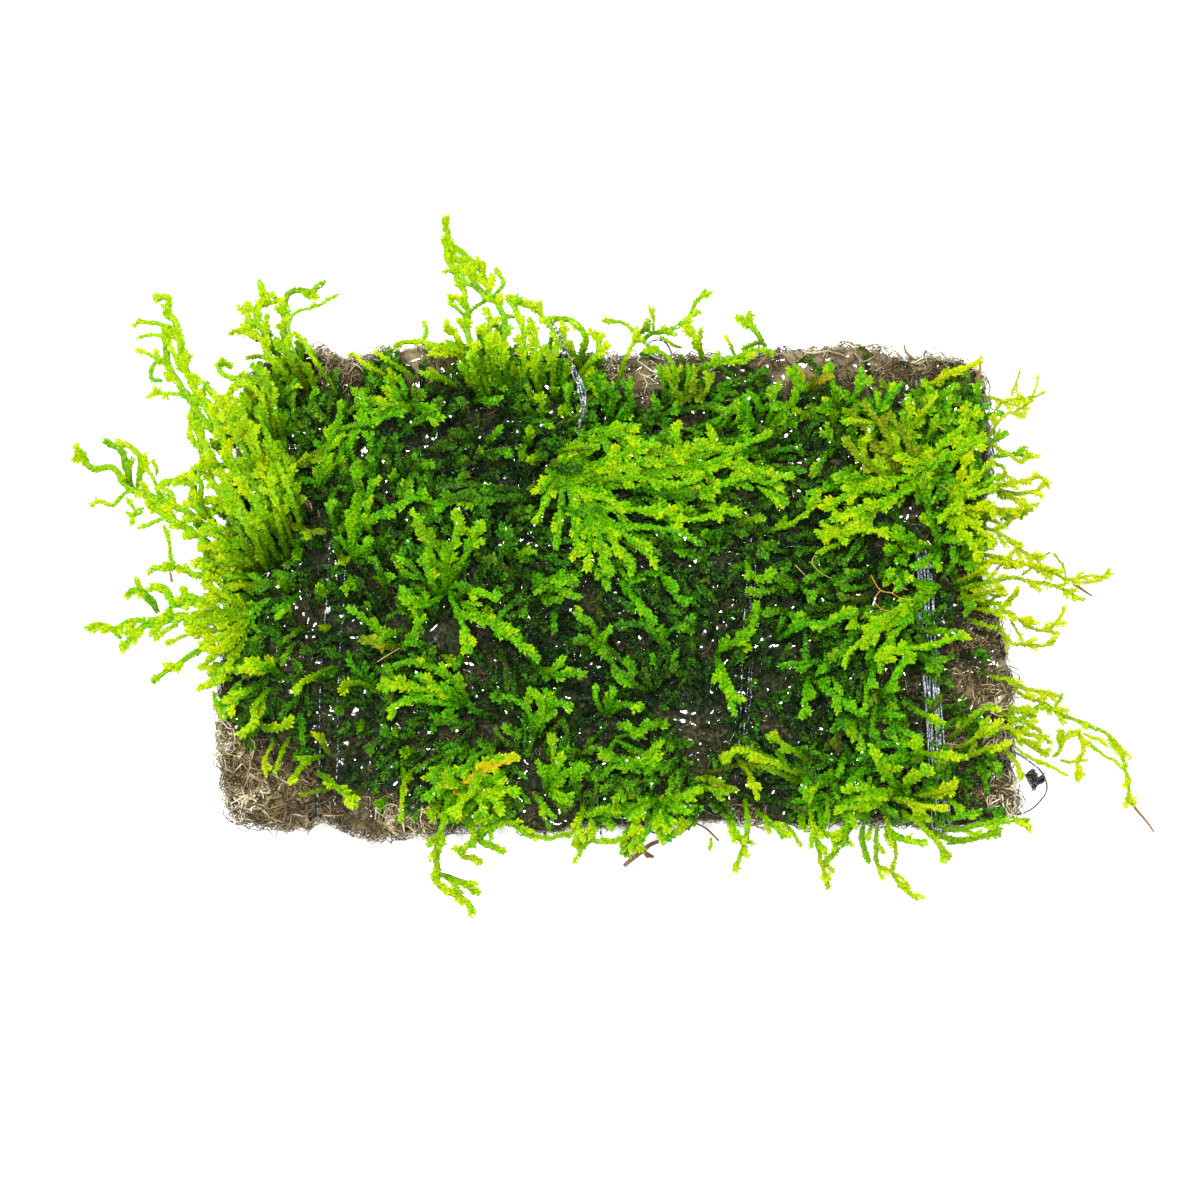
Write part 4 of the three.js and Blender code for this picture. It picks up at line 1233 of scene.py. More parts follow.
        "255,582/172,604 190,602 208,600 226,598 244,594/186,624 204,622 222,618 240,614/196,636 212,632 "
        "230,628 248,622",
        "112,628 117,634 121,639/131,621 133,628/157,638 163,632 170,627 178,624/167,643 174,641 180,637 "
        "188,634/201,667 208,661 215,657", girth=1.0),
    Frond(
        "left_bottom", 17.6, 5,
        "200,688 210,686 218,683 232,678/225,715 230,705 238,697 248,690 256,685/241,734 248,730 255,723 "
        "252,712 258,700 265,690/290,720 283,727 272,730 262,728 255,722/215,665 225,670 240,668 255,665 "
        "270,670 283,678",
        "222,717 220,712 215,702 213,690", girth=1.0),
    Frond(
        "front_prongs", 18, 5,
        "291,779 297,772 303,764 312,759 320,757/355,805 345,795 336,788 328,782 320,778 310,775/320,735 "
        "323,745 326,757/295,690 303,683 312,678 322,672 332,668/341,690 348,685 356,684 365,686 372,690",
        "266,774 264,760 268,748 270,738/275,772 277,760 281,748 286,738/302,795 312,793 320,791 328,792/"
        "401,820 402,805 402,790 405,780 410,772 418,768"),
)


@dataclass
class Fronds:
    """The sprays that lie over the bed, reach past the mat's edges and droop to the table."""

    leaves: Growth
    dead: Growth
    droop: Droop = Droop()
    stem: Habit = Habit(1.0, 0.6, 0.87, 0.08, lobes=0.34, wobble=0.3)
    twig: Habit = Habit(0.62, 0.7, 0.94, 0.06, lobes=0.05)
    dead_radius: float = 0.28
    stacking: float = 0.35
    stacking_chance: float = 0.2
    companion_length: float = 18.0
    companion_gap: float = 1.6
    companion_gaps: tuple[float, float] = (0.6, 1.2)
    companion_angle: float = 16.0
    companion_past: float = 2.0
    companion_shares: tuple[float, float] = (0.6, 1.0)
    companion_drops: tuple[float, float] = (0.3, 1.2)
    companion_darker: float = 0.16

    def build(self) -> None:
        """Makes one leafy piece for each frond, and one of all their dead tips."""
        dead = []
        for number, frond in enumerate(FRONDS):
            dead += [self.droop.lay(course, frond.crest, frond.hang, rooted=False)
                     for course in courses(frond.dead)]
            rng = np.random.default_rng(SEED * 100 + number)
            stems = Stems()
            for text, habit in ((frond.stems, self.stem), (frond.twigs, self.twig)):
                habit = replace(
                    habit, girth=habit.girth * frond.girth, gold=habit.gold + frond.bright,
                    foot_tone=habit.foot_tone + frond.bright, tip_tone=habit.tip_tone + frond.bright)
                for order, course in enumerate(courses(text)):
                    chance = rng.uniform(-self.stacking_chance, self.stacking_chance)
                    lift = (order % 4) * self.stacking + chance
                    line = self.droop.lay(course, frond.crest, frond.hang, lift)
                    stems.grow(line, habit, rng)
                    for side in (-1, 1):
                        self.accompany(stems, line, habit, side, rng)
            piece = stems.piece(f"leafy_{frond.name}", self.leaves, LEAF_SIZES)
            settled(piece, "moss", f"frond_{frond.name}")
        tips = line_piece("dead_tips", dead, {"girth": [np.linspace(1.0, 0.6, len(line)) for line in dead]})
        self.dead.grown(tips, {"Line radius": self.dead_radius * MM})
        settled(tips, "twig")

    def accompany(self, stems: Stems, line: np.ndarray, habit: Habit, side: int,
                  rng: np.random.Generator) -> None:
        """Grows a shorter stem beside a long one, over the mat.

        Args:
            stems: The frond's stems, which are added to.
            line: The long stem, from its foot.
            habit: How the long stem looks.
            side: 1 for its left, -1 for its right.
            rng: Where chance comes from.
        """
        whole = distance_along(line)[-1]
        if whole < self.companion_length:
            return
        over_mat = sum(self.droop.outside(point) < self.companion_past for point in line)
        part = line[:max(4, int(over_mat * rng.uniform(*self.companion_shares)))].copy()
        angle = side * math.radians(rng.uniform(0, self.companion_angle))
        spread = np.array([[math.cos(angle), math.sin(angle)], [-math.sin(angle), math.cos(angle)]])
        part[:, :2] = part[0, :2] + (part[:, :2] - part[0, :2]) @ spread
        heading = np.gradient(part[:, :2], axis=0)
        heading /= np.linalg.norm(heading, axis=1)[:, None] + 1e-9
        shift = side * self.companion_gap * rng.uniform(*self.companion_gaps)
        part[:, 0] -= heading[:, 1] * shift
        part[:, 1] += heading[:, 0] * shift
        part[:, 2] = np.minimum(part[:, 2] - rng.uniform(*self.companion_drops), self.droop.top)
        shade = replace(habit, foot_tone=habit.foot_tone - self.companion_darker,
                        tip_tone=habit.tip_tone - self.companion_darker)
        stems.grow(part, shade, rng)


@dataclass(frozen=True)
class Patch:
    """How the moss looks round one pixel: how much covers the mat, how bright, and which way it lies."""

    x: float
    y: float
    radius: float
    cover: float
    tone: float
    heading: float


PATCHES = (
    Patch(235, 430, 60, 0.9, 0.9, 125), Patch(225, 510, 50, 0.95, 0.9, 155),
    Patch(225, 600, 50, 0.9, 0.9, 182), Patch(240, 680, 45, 0.7, 0.75, 210),
    Patch(275, 785, 60, 0, 0.4, 250), Patch(300, 400, 40, 0.85, 0.7, 110),
    Patch(300, 500, 40, 0.6, 0.5, 120), Patch(300, 590, 45, 0.7, 0.6, 170),
    Patch(300, 690, 45, 0.6, 0.55, 190), Patch(345, 370, 35, 0.15, 0.4, 90),
    Patch(375, 425, 40, 0.45, 0.6, 80), Patch(355, 500, 35, 0.7, 0.65, 90),
    Patch(400, 545, 45, 0.6, 0.5, 100), Patch(350, 600, 40, 0.4, 0.45, 140),
    Patch(370, 700, 45, 0.35, 0.45, 175), Patch(425, 690, 50, 0.55, 0.6, 175),
    Patch(380, 785, 45, 0.2, 0.4, 250), Patch(450, 430, 40, 0.4, 0.35, 60),
    Patch(430, 365, 35, 0.5, 0.6, 60), Patch(500, 370, 45, 0.95, 0.7, 95),
    Patch(500, 470, 45, 0.5, 0.4, 20), Patch(450, 580, 50, 0.7, 0.58, 110),
    Patch(500, 650, 50, 0.22, 0.36, -45), Patch(480, 790, 50, 0.95, 0.8, 250),
    Patch(540, 400, 35, 0.8, 0.7, 90), Patch(600, 440, 50, 0.75, 0.6, 25),
    Patch(680, 450, 60, 0.75, 0.68, 5), Patch(740, 480, 50, 0.9, 0.84, 0),
    Patch(620, 510, 50, 0.85, 0.7, -10), Patch(560, 540, 45, 0.6, 0.5, 0),
    Patch(555, 590, 40, 0.6, 0.6, 185), Patch(560, 650, 50, 0.14, 0.26, 0),
    Patch(640, 600, 50, 0.32, 0.42, -40), Patch(620, 660, 45, 0.22, 0.36, -60),
    Patch(540, 710, 40, 0.24, 0.4, 100), Patch(600, 730, 45, 0.24, 0.3, 0),
    Patch(565, 775, 35, 0.7, 0.7, 60), Patch(650, 790, 55, 0.8, 0.7, 265),
    Patch(700, 660, 45, 0.35, 0.45, 100), Patch(640, 380, 40, 0.3, 0.4, 90),
    Patch(690, 385, 35, 0.7, 0.74, 85), Patch(760, 400, 45, 0.35, 0.62, 95),
    Patch(790, 500, 50, 0.2, 0.3, -20), Patch(800, 440, 35, 0.3, 0.4, 60),
    Patch(830, 390, 45, 0.42, 0.6, 90), Patch(880, 430, 55, 0.85, 0.78, 120),
    Patch(930, 430, 50, 0.8, 0.86, 60), Patch(950, 500, 60, 1, 0.88, 20),
    Patch(870, 500, 45, 0.85, 0.84, 190), Patch(895, 540, 35, 0.3, 0.35, 200),
    Patch(800, 570, 45, 0.5, 0.45, 200), Patch(730, 560, 45, 0.5, 0.45, 30),
    Patch(760, 650, 60, 0.3, 0.35, 20), Patch(860, 640, 55, 0.7, 0.68, 215),
    Patch(920, 640, 30, 0.3, 0.5, 0), Patch(960, 620, 40, 0.3, 0.55, 0), Patch(995, 690, 35, 0.2, 0.5, 0),
    Patch(800, 710, 55, 0.3, 0.35, -90), Patch(850, 700, 35, 0.7, 0.7, -40),
    Patch(930, 760, 55, 0.6, 0.75, -10), Patch(860, 780, 50, 0.9, 0.8, -100),
    Patch(770, 770, 50, 0.45, 0.4, -20), Patch(980, 770, 40, 0.3, 0.7, 0),
    Patch(600, 372, 25, 0.3, 0.4, 90), Patch(870, 368, 30, 0.15, 0.4, 90),
    Patch(960, 375, 25, 0.4, 0.6, 200),
)

BARE_SPOTS = (
    (255, 785, 46), (295, 800, 42), (340, 818, 32), (385, 822, 28), (425, 822, 24), (338, 363, 26),
    (375, 352, 14), (425, 356, 24), (455, 354, 16), (612, 366, 22), (640, 372, 30), (668, 358, 16),
    (705, 360, 14), (785, 357, 30), (815, 358, 32), (850, 360, 34), (885, 368, 30), (925, 368, 22),
    (985, 635, 26), (996, 690, 30), (1005, 745, 18), (1005, 795, 22), (953, 645, 15), (962, 685, 18),
    (950, 738, 13), (975, 795, 12), (297, 499, 21), (990, 380, 12), (660, 822, 12), (745, 814, 14),
    (225, 745, 22),
)


def bareness(pixel: Pixel) -> float:
    """How bare of moss the mat is at a pixel, from nought to one."""
    return 1 - math.prod(
        min(1.0, math.hypot(pixel[0] - x, pixel[1] - y) / radius) ** 3 for x, y, radius in BARE_SPOTS)


@dataclass(frozen=True)
class Tuft:
    """A bunch of stems of one clump: their common root, how bright they are, and their courses."""

    root: Pixel
    tone: float
    stems: str
    girth: float = 0.95
    gold: float = 0.05


TUFTS = (
    Tuft((352, 560), 0.7, "354,467 357,480 362,492 360,515 350,545/347,512 352,522 354,540/385,513 "
         "374,517 362,524 356,540/369,540 362,550"),
    Tuft((318, 490), 0.75, "341,402 337,422 330,442 326,455 320,480/390,413 370,422 358,425 345,428 "
         "332,440/362,395 364,405 362,420"),
    Tuft((448, 590), 0.77, "413,512 420,525 427,545 438,570/458,514 455,535 446,560/478,525 474,540 "
         "462,560 452,575/425,560 430,575 436,590/403,590 415,602 430,606/495,598 475,592 458,585/537,658 "
         "505,632 480,615/468,648 467,635 462,620 455,605", 1.05),
    Tuft((525, 492), 0.7, "385,510 400,503 415,496 435,502 460,498 490,494"),
    Tuft((400, 650), 0.72, "350,609 365,618 378,630/403,590 413,608 417,625 410,638"),
    Tuft((400, 648), 0.5, "365,640 383,645 392,647", gold=0.35),
    Tuft((470, 705), 0.79, "396,665 410,662 425,665 445,675 462,692/386,688 400,684 425,690 450,698/"
         "390,710 405,701 425,701 450,705/418,676 436,686 455,700", 1.05),
    Tuft((540, 735), 0.68, "545,690 550,700 545,715 540,732/530,690 542,700 542,718 535,732/505,697 "
         "520,702 530,715 532,730/568,705 556,703 546,712"),
    Tuft((545, 790), 0.74, "538,762 543,772 547,785/585,769 575,770 562,778 552,788/563,757 558,768 "
         "550,780/568,802 562,796 552,790"),
    Tuft((470, 790), 0.88, "510,757 495,762 478,772/515,790 500,788 485,790/448,770 455,780 465,790/"
         "498,775 490,782/455,812 462,802 468,794/484,812 480,802 474,796/500,806 490,798 480,793", 1.1),
    Tuft((447, 802), 0.95, "512,757 503,761 490,767 476,774 465,781 456,790", 0.95, 0.62),
    Tuft((558, 480), 0.82, "638,426 610,428 590,432 572,445 560,468/672,459 655,450 638,439 620,434 "
         "600,438 578,455/737,452 720,449 705,447 690,452 672,460 640,462 600,470 575,478/764,438 752,443 "
         "740,450 725,458 705,465 670,470/791,477 770,475 755,470 740,465 715,468 690,475/778,484 765,482 "
         "750,478 735,482 720,488 705,493 670,492 630,488 590,486/638,477 620,468 600,470/623,507 605,500 "
         "580,490/737,511 725,510 710,515 690,518 665,512 640,508 615,510 590,503/697,542 680,530 650,525 "
         "620,525 595,515/713,433 713,445 706,455/673,428 677,440 682,450 690,456/655,442 640,448 618,455 "
         "590,468/700,478 676,484 650,480 620,478"),
    Tuft((566, 455), 0.8, "536,520 545,500 552,480 560,466/556,545 560,520 562,495 564,470/578,552 "
         "574,530 570,505 568,478/540,492 548,480 556,468"),
    Tuft((590, 500), 0.78, "612,572 604,552 598,530 592,512/632,566 620,548 606,530 596,514/655,560 "
         "638,545 618,530 600,512/590,565 590,545 590,522"),
    Tuft((610, 425), 0.6, "623,382 629,394 630,410/602,375 610,390 615,404/594,370 598,385"),
    Tuft((540, 495), 0.4, "440,487 470,486 500,490 530,495/445,500 480,500 520,502"),
    Tuft((538, 592), 0.65, "578,597 565,590 550,591/575,583 560,578 545,580 535,588/560,600 548,598"),
    Tuft((620, 580), 0.6, "653,622 643,608 632,595 622,583/684,603 674,592 665,580 658,572"),
    Tuft((655, 690), 0.5, "620,625 635,625 650,632 663,648 668,665/690,622 675,628 664,640/625,675 "
         "615,668 608,655 602,645/632,665 630,680 640,690"),
    Tuft((600, 655), 0.7, "578,613 588,622 596,635/578,640 590,642/610,628 604,638"),
    Tuft((606, 716), 0.65, "596,688 597,700/613,690 612,702/640,708 625,704"),
    Tuft((716, 655), 0.75, "734,712 728,697 723,682 718,665/738,700 730,685 724,670/757,604 757,618 "
         "749,630 738,640 722,650"),
    Tuft((745, 560), 0.8, "771,575 762,579 753,575"),
    Tuft((778, 640), 0.85, "853,611 840,617 825,623 805,622 793,628", 1.15),
    Tuft((812, 675), 0.65, "804,715 806,700 808,685/822,668 816,676/862,714 848,706 836,697 825,688 "
                           "815,680"),
    Tuft((940, 585), 0.85, "865,628 885,620 905,608 922,597/845,663 850,650 862,640 880,630 900,620/"
         "962,634 950,640 925,645 900,648 880,655/905,575 898,577 885,578"),
    Tuft((882, 698), 0.7, "905,660 898,675 888,690", 1.4),
    Tuft((945, 475), 0.88, "828,508 840,500 860,492 880,488 900,480 922,478/835,517 855,510 880,504 "
         "905,493 925,486/845,487 855,483 872,480/885,531 865,530 845,530/940,520 955,505 962,490/905,470 "
         "922,468 936,470/900,455 918,460 934,468", 1.05),
    Tuft((948, 505), 0.95, "992,462 980,472 968,484 956,496/996,488 982,492 966,498/998,512 984,510 "
         "966,508/992,540 980,530 966,520 956,512/980,556 972,544 962,530 954,516/970,452 964,466 "
         "958,482", 1.0, 0.12),
    Tuft((858, 535), 0.95, "822,524 832,530 845,533/822,536 835,537 850,535"),
    Tuft((940, 548), 0.7, "926,482 926,494 929,508/896,532 904,540 914,548/915,566 922,562 932,556/"
         "936,566 938,560 940,554"),
    Tuft((925, 470), 0.6, "918,502 918,494 920,486/928,506 926,494 925,482"),
    Tuft((905, 550), 0.7, "898,528 902,536 904,544/912,538 908,542/888,552 896,552/903,562 904,556"),
    Tuft((812, 390), 0.42, "800,379 806,383 810,386/824,376 819,381 815,386/796,388 803,389 "
                           "808,390", 0.7, 0.6),
    Tuft((845, 410), 0.75, "829,364 831,378 836,392 838,402/861,371 862,383 856,393 848,403/826,402 "
                           "836,406"),
    Tuft((870, 425), 0.75, "901,384 892,394 884,404 874,414/934,396 927,408 916,422 903,438/912,402 "
                           "909,414 905,430"),
    Tuft((915, 462), 0.85, "969,425 958,432 948,441 938,450 922,457/985,440 972,446 958,452 940,460"),
    Tuft((905, 475), 0.6, "850,412 865,430 880,450 895,470/865,405 880,425 895,450/890,415 905,440 "
         "915,465/845,440 858,455 875,470", gold=0.25),
    Tuft((765, 430), 0.72, "773,388 774,402 770,415/745,398 748,410 752,425/795,368 796,380 799,392 "
                           "786,412"),
    Tuft((770, 532), 0.8, "815,498 810,510 796,520 780,527"),
    Tuft((537, 668), 0.65, "500,625 515,640 530,655/560,665 554,670 546,672/580,672 565,674 550,674"),
    Tuft((615, 740), 0.65, "655,745 650,755 640,760 625,762 610,755/600,750 620,760 640,765 665,765/"
         "620,725 635,730 650,728 660,722"),
    Tuft((705, 772), 0.55, "735,790 715,785 705,775/725,760 740,752 765,757", gold=0.25),
    Tuft((850, 778), 0.6, "725,760 740,752 765,757 785,765 805,775 830,776/860,758 884,745 905,757"),
    Tuft((700, 385), 0.6, "672,380 676,392 684,400/690,372 692,384 696,396/712,376 708,388 "
                          "702,396", gold=0.2),
    Tuft((265, 470), 0.6, "340,430 325,448 305,462 285,470/322,532 300,530 282,520 268,500", gold=0.2),
    Tuft((252, 615), 0.92, "205,583 214,590 226,598 238,606/201,600 213,606 228,612/199,622 212,622 "
         "230,620/204,643 216,638 234,628/208,660 220,652 236,638/214,684 222,672 238,650/203,568 215,578 "
         "232,596", 1.05, 0.12),
    Tuft((255, 565), 0.9, "203,545 216,550 234,558/200,560 214,563 234,564/206,528 218,536 "
                          "236,552", 1.0, 0.12),
    Tuft((800, 585), 0.5, "770,575 785,578 798,584/812,600 806,592 802,586"),
    Tuft((404, 400), 0.7, "388,380 394,390 402,400/398,378 404,388 406,398/372,412 384,410 396,405/"
         "438,418 428,412 416,406"),
    Tuft((660, 800), 0.8, "642,838 650,826 656,812/668,838 668,826 664,812/690,812 680,808 670,804/"
         "632,818 640,810 650,804/700,790 688,794 674,798", 1.05),
    Tuft((900, 790), 0.88, "862,800 874,796 888,792/840,808 858,808 876,802/880,760 886,770 894,782/"
         "930,770 920,776 908,784/872,748 876,760 884,772/846,790 860,788 880,790", 1.05),
)


SHOOTS = (
    (299, 553, 0.7), (283, 582, 0.7), (322, 590, 0.65), (350, 585, 0.6), (347, 560, 0.7), (395, 560, 0.6),
    (383, 580, 0.65), (405, 575, 0.65), (340, 530, 0.6), (405, 488, 0.7), (397, 475, 0.65),
    (527, 437, 0.65), (538, 455, 0.7), (525, 455, 0.65), (565, 410, 0.7), (553, 390, 0.7),
    (320, 628, 0.7), (360, 730, 0.7), (395, 735, 0.7), (405, 750, 0.7), (405, 778, 0.75), (380, 805, 0.7),
    (710, 535, 0.6), (770, 545, 0.6), (803, 415, 0.65), (795, 425, 0.65), (832, 415, 0.65),
    (905, 535, 0.6), (905, 548, 0.6), (748, 622, 0.65), (690, 632, 0.7), (745, 645, 0.65),
    (556, 470, 0.6), (610, 695, 0.6), (486, 612, 0.7), (452, 660, 0.75),
)


@dataclass(frozen=True)
class Storey:
    """One layer of the bed: how many stems are tried, how long, how high and how bright they are."""

    name: str
    tries: int
    length: tuple[float, float]
    height: tuple[float, float]
    tone: float
    girth: float
    thinning: float
    dense: float


@dataclass(frozen=True)
class Clump:
    """A clump of the bed, with the box of pixels that it covers."""

    name: str
    box: tuple[float, float, float, float]

    def gap(self, pixel: Pixel) -> float:
        """How far outside its box a pixel is."""
        left, top, right, bottom = self.box
        return max(left - pixel[0], pixel[0] - right, top - pixel[1], pixel[1] - bottom)


@dataclass
class MossBed:
    """The dense low moss on the mat's top, in the clumps that the line parts."""

    leaves: Growth
    droop: Droop = Droop()
    edge_hang: float = 5.0
    tie_lines: tuple = (
        (324, 575, 322, 790), (344, 575, 337, 760), (745, 680, 740, 745), (718, 730, 690, 780),
        (926, 600, 934, 705), (934, 760, 938, 790))
    tie_gap: float = 9.0
    tie_cover: float = 0.05
    falloff: float = 1.5
    area: tuple[float, float, float, float] = (212, 350, 1012, 824)
    spread: tuple[float, float] = (0.7548776662, 0.5698402910)
    heading_chance: float = 38.0
    bend_chance: float = 0.07
    arch: float = 2.1
    contrast: float = 0.75
    middle_tone: float = 0.6
    tone_chance: float = 0.06
    foot_darker: float = 0.18
    tip_brighter: float = 0.04
    gold_chance: float = 0.05
    tuft_foot_darker: float = 0.14
    tuft_chance: tuple[float, float] = (-0.3, 0.5)
    tuft_root: float = 11.4
    tuft_crest: float = 14.2
    tuft_stacking: float = 0.35
    tuft_arch: float = 2.2
    tuft_girth: float = 0.92
    tuft_darker: float = 0.1
    shoot: float = 11.0
    shoot_heights: tuple[float, float, float] = (10.8, 12.4, 13.4)
    storeys: tuple[Storey, ...] = (
        Storey("undergrowth", 3000, (3.5, 7), (9.7, 11.0), 0.25, 0.56, 0.22, 0.8),
        Storey("middle", 1500, (4, 8), (10.6, 13.2), 0.34, 0.74, 1.5, 1.0),
        Storey("top", 1350, (3.5, 7.5), (12.2, 15.5), 0.53, 0.8, 2.5, 1.0),
    )
    clumps: tuple[Clump, ...] = (
        Clump("left_back", (244, 376, 328, 560)), Clump("left_front", (224, 570, 318, 738)),
        Clump("middle_left_back", (350, 384, 458, 548)), Clump("middle_left_front", (344, 560, 458, 818)),
        Clump("middle_back", (466, 368, 572, 580)), Clump("middle_front", (466, 592, 590, 816)),
        Clump("centre_back", (594, 370, 742, 556)), Clump("centre_front", (604, 568, 730, 818)),
        Clump("right_back", (768, 370, 912, 590)), Clump("right_front", (754, 602, 918, 816)),
        Clump("right_end", (940, 395, 984, 580)), Clump("right_end_front", (958, 592, 1004, 806)),
    )

    def ground(self, pixel: Pixel) -> Patch:
        """Blends how the moss looks at a pixel from the patches round it.

        Args:
            pixel: The pixel.

        Returns:
            How the moss looks there.
        """
        weights = [math.exp(-self.falloff * ((pixel[0] - p.x) ** 2 + (pixel[1] - p.y) ** 2) / p.radius**2)
                   for p in PATCHES]
        whole = sum(weights) + 1e-9
        cover, tone, east, north = (
            sum(w * part(p) for w, p in zip(weights, PATCHES)) / whole
            for part in (lambda p: p.cover, lambda p: p.tone,
                         lambda p: math.cos(math.radians(p.heading)),
                         lambda p: math.sin(math.radians(p.heading))))
        for x0, y0, x1, y1 in self.tie_lines:
            across = pixel[0] - (x0 + (x1 - x0) * (pixel[1] - y0) / (y1 - y0))
            if y0 < pixel[1] < y1 and abs(across) < self.tie_gap:
                cover *= self.tie_cover
        return Patch(*pixel, 0, cover * (1 - bareness(pixel)), tone, math.degrees(math.atan2(north, east)))

    def clump_at(self, pixel: Pixel) -> str:
        """The name of the clump nearest to a pixel."""
        return min(self.clumps, key=lambda clump: clump.gap(pixel)).name

    def arched(self, pixel: Pixel, heading: float, storey: Storey, rng: np.random.Generator) -> np.ndarray:
        """Lays one low arched stem of a storey.

        Args:
            pixel: Where its foot is.
            heading: Which way the moss lies there, in degrees.
            storey: The layer that it belongs to.
            rng: Where chance comes from.

        Returns:
            Even points from foot to tip.
        """
        heading = math.radians(heading + rng.normal(0, self.heading_chance))
        bend = rng.normal(0, self.bend_chance)
        length = rng.uniform(*storey.length)
        low, high = storey.height
        foot = rng.uniform(low, low + 0.4 * (high - low))
        tip = rng.uniform(low + 0.3 * (high - low), high)
        steps = np.linspace(0, 1, max(4, round(length / STEM_STEP) + 1))
        turns = heading + bend * length * steps
        start = PHOTO.placed(pixel, foot)
        reach = length / len(steps)
        flat = np.stack([np.cumsum(np.cos(turns)), np.cumsum(np.sin(turns))], axis=1) * reach
        rise = foot + (tip - foot) * np.sin(steps * self.arch) / math.sin(self.arch / 2) * 0.9
        line = np.column_stack([start[0] + flat[:, 0], start[1] + flat[:, 1], rise])
        for point in line:
            share = self.droop.held(point, self.edge_hang)
            point[2] = self.droop.table + (point[2] - self.droop.table) * share
        return line

    def fill(self, stems: dict[str, Stems], storey: Storey, rng: np.random.Generator) -> None:
        """Grows the stems of one storey, evenly spread and thinned where the mat shows.

        Args:
            stems: The stems of each clump, which are added to.
            storey: The layer to grow.
            rng: Where chance comes from.
        """
        left, top, right, bottom = self.area
        for number in range(storey.tries):
            pixel = (left + (right - left) * ((0.5 + number * self.spread[0]) % 1),
                     top + (bottom - top) * ((0.5 + number * self.spread[1]) % 1))
            patch = self.ground(pixel)
            if rng.random() > patch.cover**storey.thinning or not inside_outline(pixel):
                continue
            line = self.arched(pixel, patch.heading, storey, rng)
            tone = storey.tone + self.contrast * (patch.tone - self.middle_tone)
            tone += rng.normal(0, self.tone_chance)
            tip_pixel = PHOTO.pixel_of(line[-1])
            past_edge = not inside_outline(tip_pixel)
            if past_edge and (storey.tone < 0.5 or rng.random() > patch.cover - 0.4):
                continue
            if rng.random() < bareness(tip_pixel):
                continue
            habit = Habit(storey.girth, max(tone - self.foot_darker, 0.0), tone + self.tip_brighter,
                          abs(rng.normal(0, self.gold_chance)), lobes=0.3 * storey.dense - 0.05,
                          dense=storey.dense)
            stems[self.clump_at(pixel)].grow(line, habit, rng)

    def grow_tufts(self, stems: dict[str, Stems], rng: np.random.Generator) -> None:
        """Grows the bunches that stand out on top of the bed.

        Args:
            stems: The stems of each clump, which are added to.
            rng: Where chance comes from.
        """
        for tuft in TUFTS:
            home = stems[self.clump_at(tuft.root)]
            for order, course in enumerate(courses(tuft.stems)):
                whole = np.vstack([course, tuft.root])[::-1]
                share = np.linspace(0, 1, len(whole))
                crest = self.tuft_crest + self.tuft_stacking * (order % 5) + rng.uniform(*self.tuft_chance)
                rise = (crest - self.tuft_root) * np.sin(share * self.tuft_arch) ** 0.7
                places = [PHOTO.placed(p, h) for p, h in zip(whole, self.tuft_root + rise)]
                line = smooth_line(np.array(places), STEM_STEP)
                tone = tuft.tone - self.tuft_darker
                habit = Habit(tuft.girth * self.tuft_girth, tone - self.tuft_foot_darker,
                              tone + self.tip_brighter, tuft.gold - 0.03, lobes=0.4)
                home.grow(line, habit, rng)

    def grow_shoots(self, stems: dict[str, Stems], rng: np.random.Generator) -> None:
        """Grows the short blunt shoots that stand alone between the bunches.

        Args:
            stems: The stems of each clump, which are added to.
            rng: Where chance comes from.
        """
        for x, y, tone in SHOOTS:
            lean = rng.uniform(0, 2 * math.pi)
            foot = (x - self.shoot * math.cos(lean), y - self.shoot * math.sin(lean))
            middle = ((x + foot[0]) / 2, (y + foot[1]) / 2)
            places = [PHOTO.placed(p, h) for p, h in zip((foot, middle, (x, y)), self.shoot_heights)]
            line = smooth_line(np.array(places), STEM_STEP)
            stems[self.clump_at((x, y))].grow(line, Habit(1.05, tone - 0.1, tone, lobes=0.7), rng)

    def build(self) -> None:
        """Makes one leafy piece for each clump."""
        rng = np.random.default_rng(SEED)
        stems = {clump.name: Stems() for clump in self.clumps}
        for storey in self.storeys:
            self.fill(stems, storey, rng)
        self.grow_tufts(stems, rng)
        self.grow_shoots(stems, rng)
        for name, grown in stems.items():
            piece = grown.piece(f"moss_{name}", self.leaves, LEAF_SIZES)
            settled(piece, "moss_bed", f"bed_{name}")


MAT_OUTLINE = courses(
    "252,372 262,362 308,346 333,357 345,363 358,357 385,352 420,347 470,352 545,350 600,357 640,355 "
    "700,358 735,358 765,355 785,349 815,351 850,345 885,352 905,364 930,358 960,359 983,370 987,405 "
    "993,440 986,500 983,560 985,600 1003,640 1015,705 1009,760 1022,812 992,822 950,828 920,826 860,822 "
    "800,826 760,824 740,818 720,822 660,826 575,828 540,835 520,828 500,820 470,830 400,833 368,838 "
    "335,824 322,817 308,825 270,827 232,817 224,780 216,715 222,650 228,540 232,480 242,415")[0]


def inside_outline(pixel: Pixel) -> bool:
    """Finds whether a pixel lies on the mat, by how often a line to the left crosses its outline.

    Args:
        pixel: The pixel.

    Returns:
        True on the mat.
    """
    x, y = pixel
    ends = zip(MAT_OUTLINE, np.roll(MAT_OUTLINE, -1, axis=0))
    crossings = sum((a[1] > y) != (b[1] > y) and x > a[0] + (y - a[1]) / (b[1] - a[1]) * (b[0] - a[0])
                    for a, b in ends)
    return crossings % 2 == 1


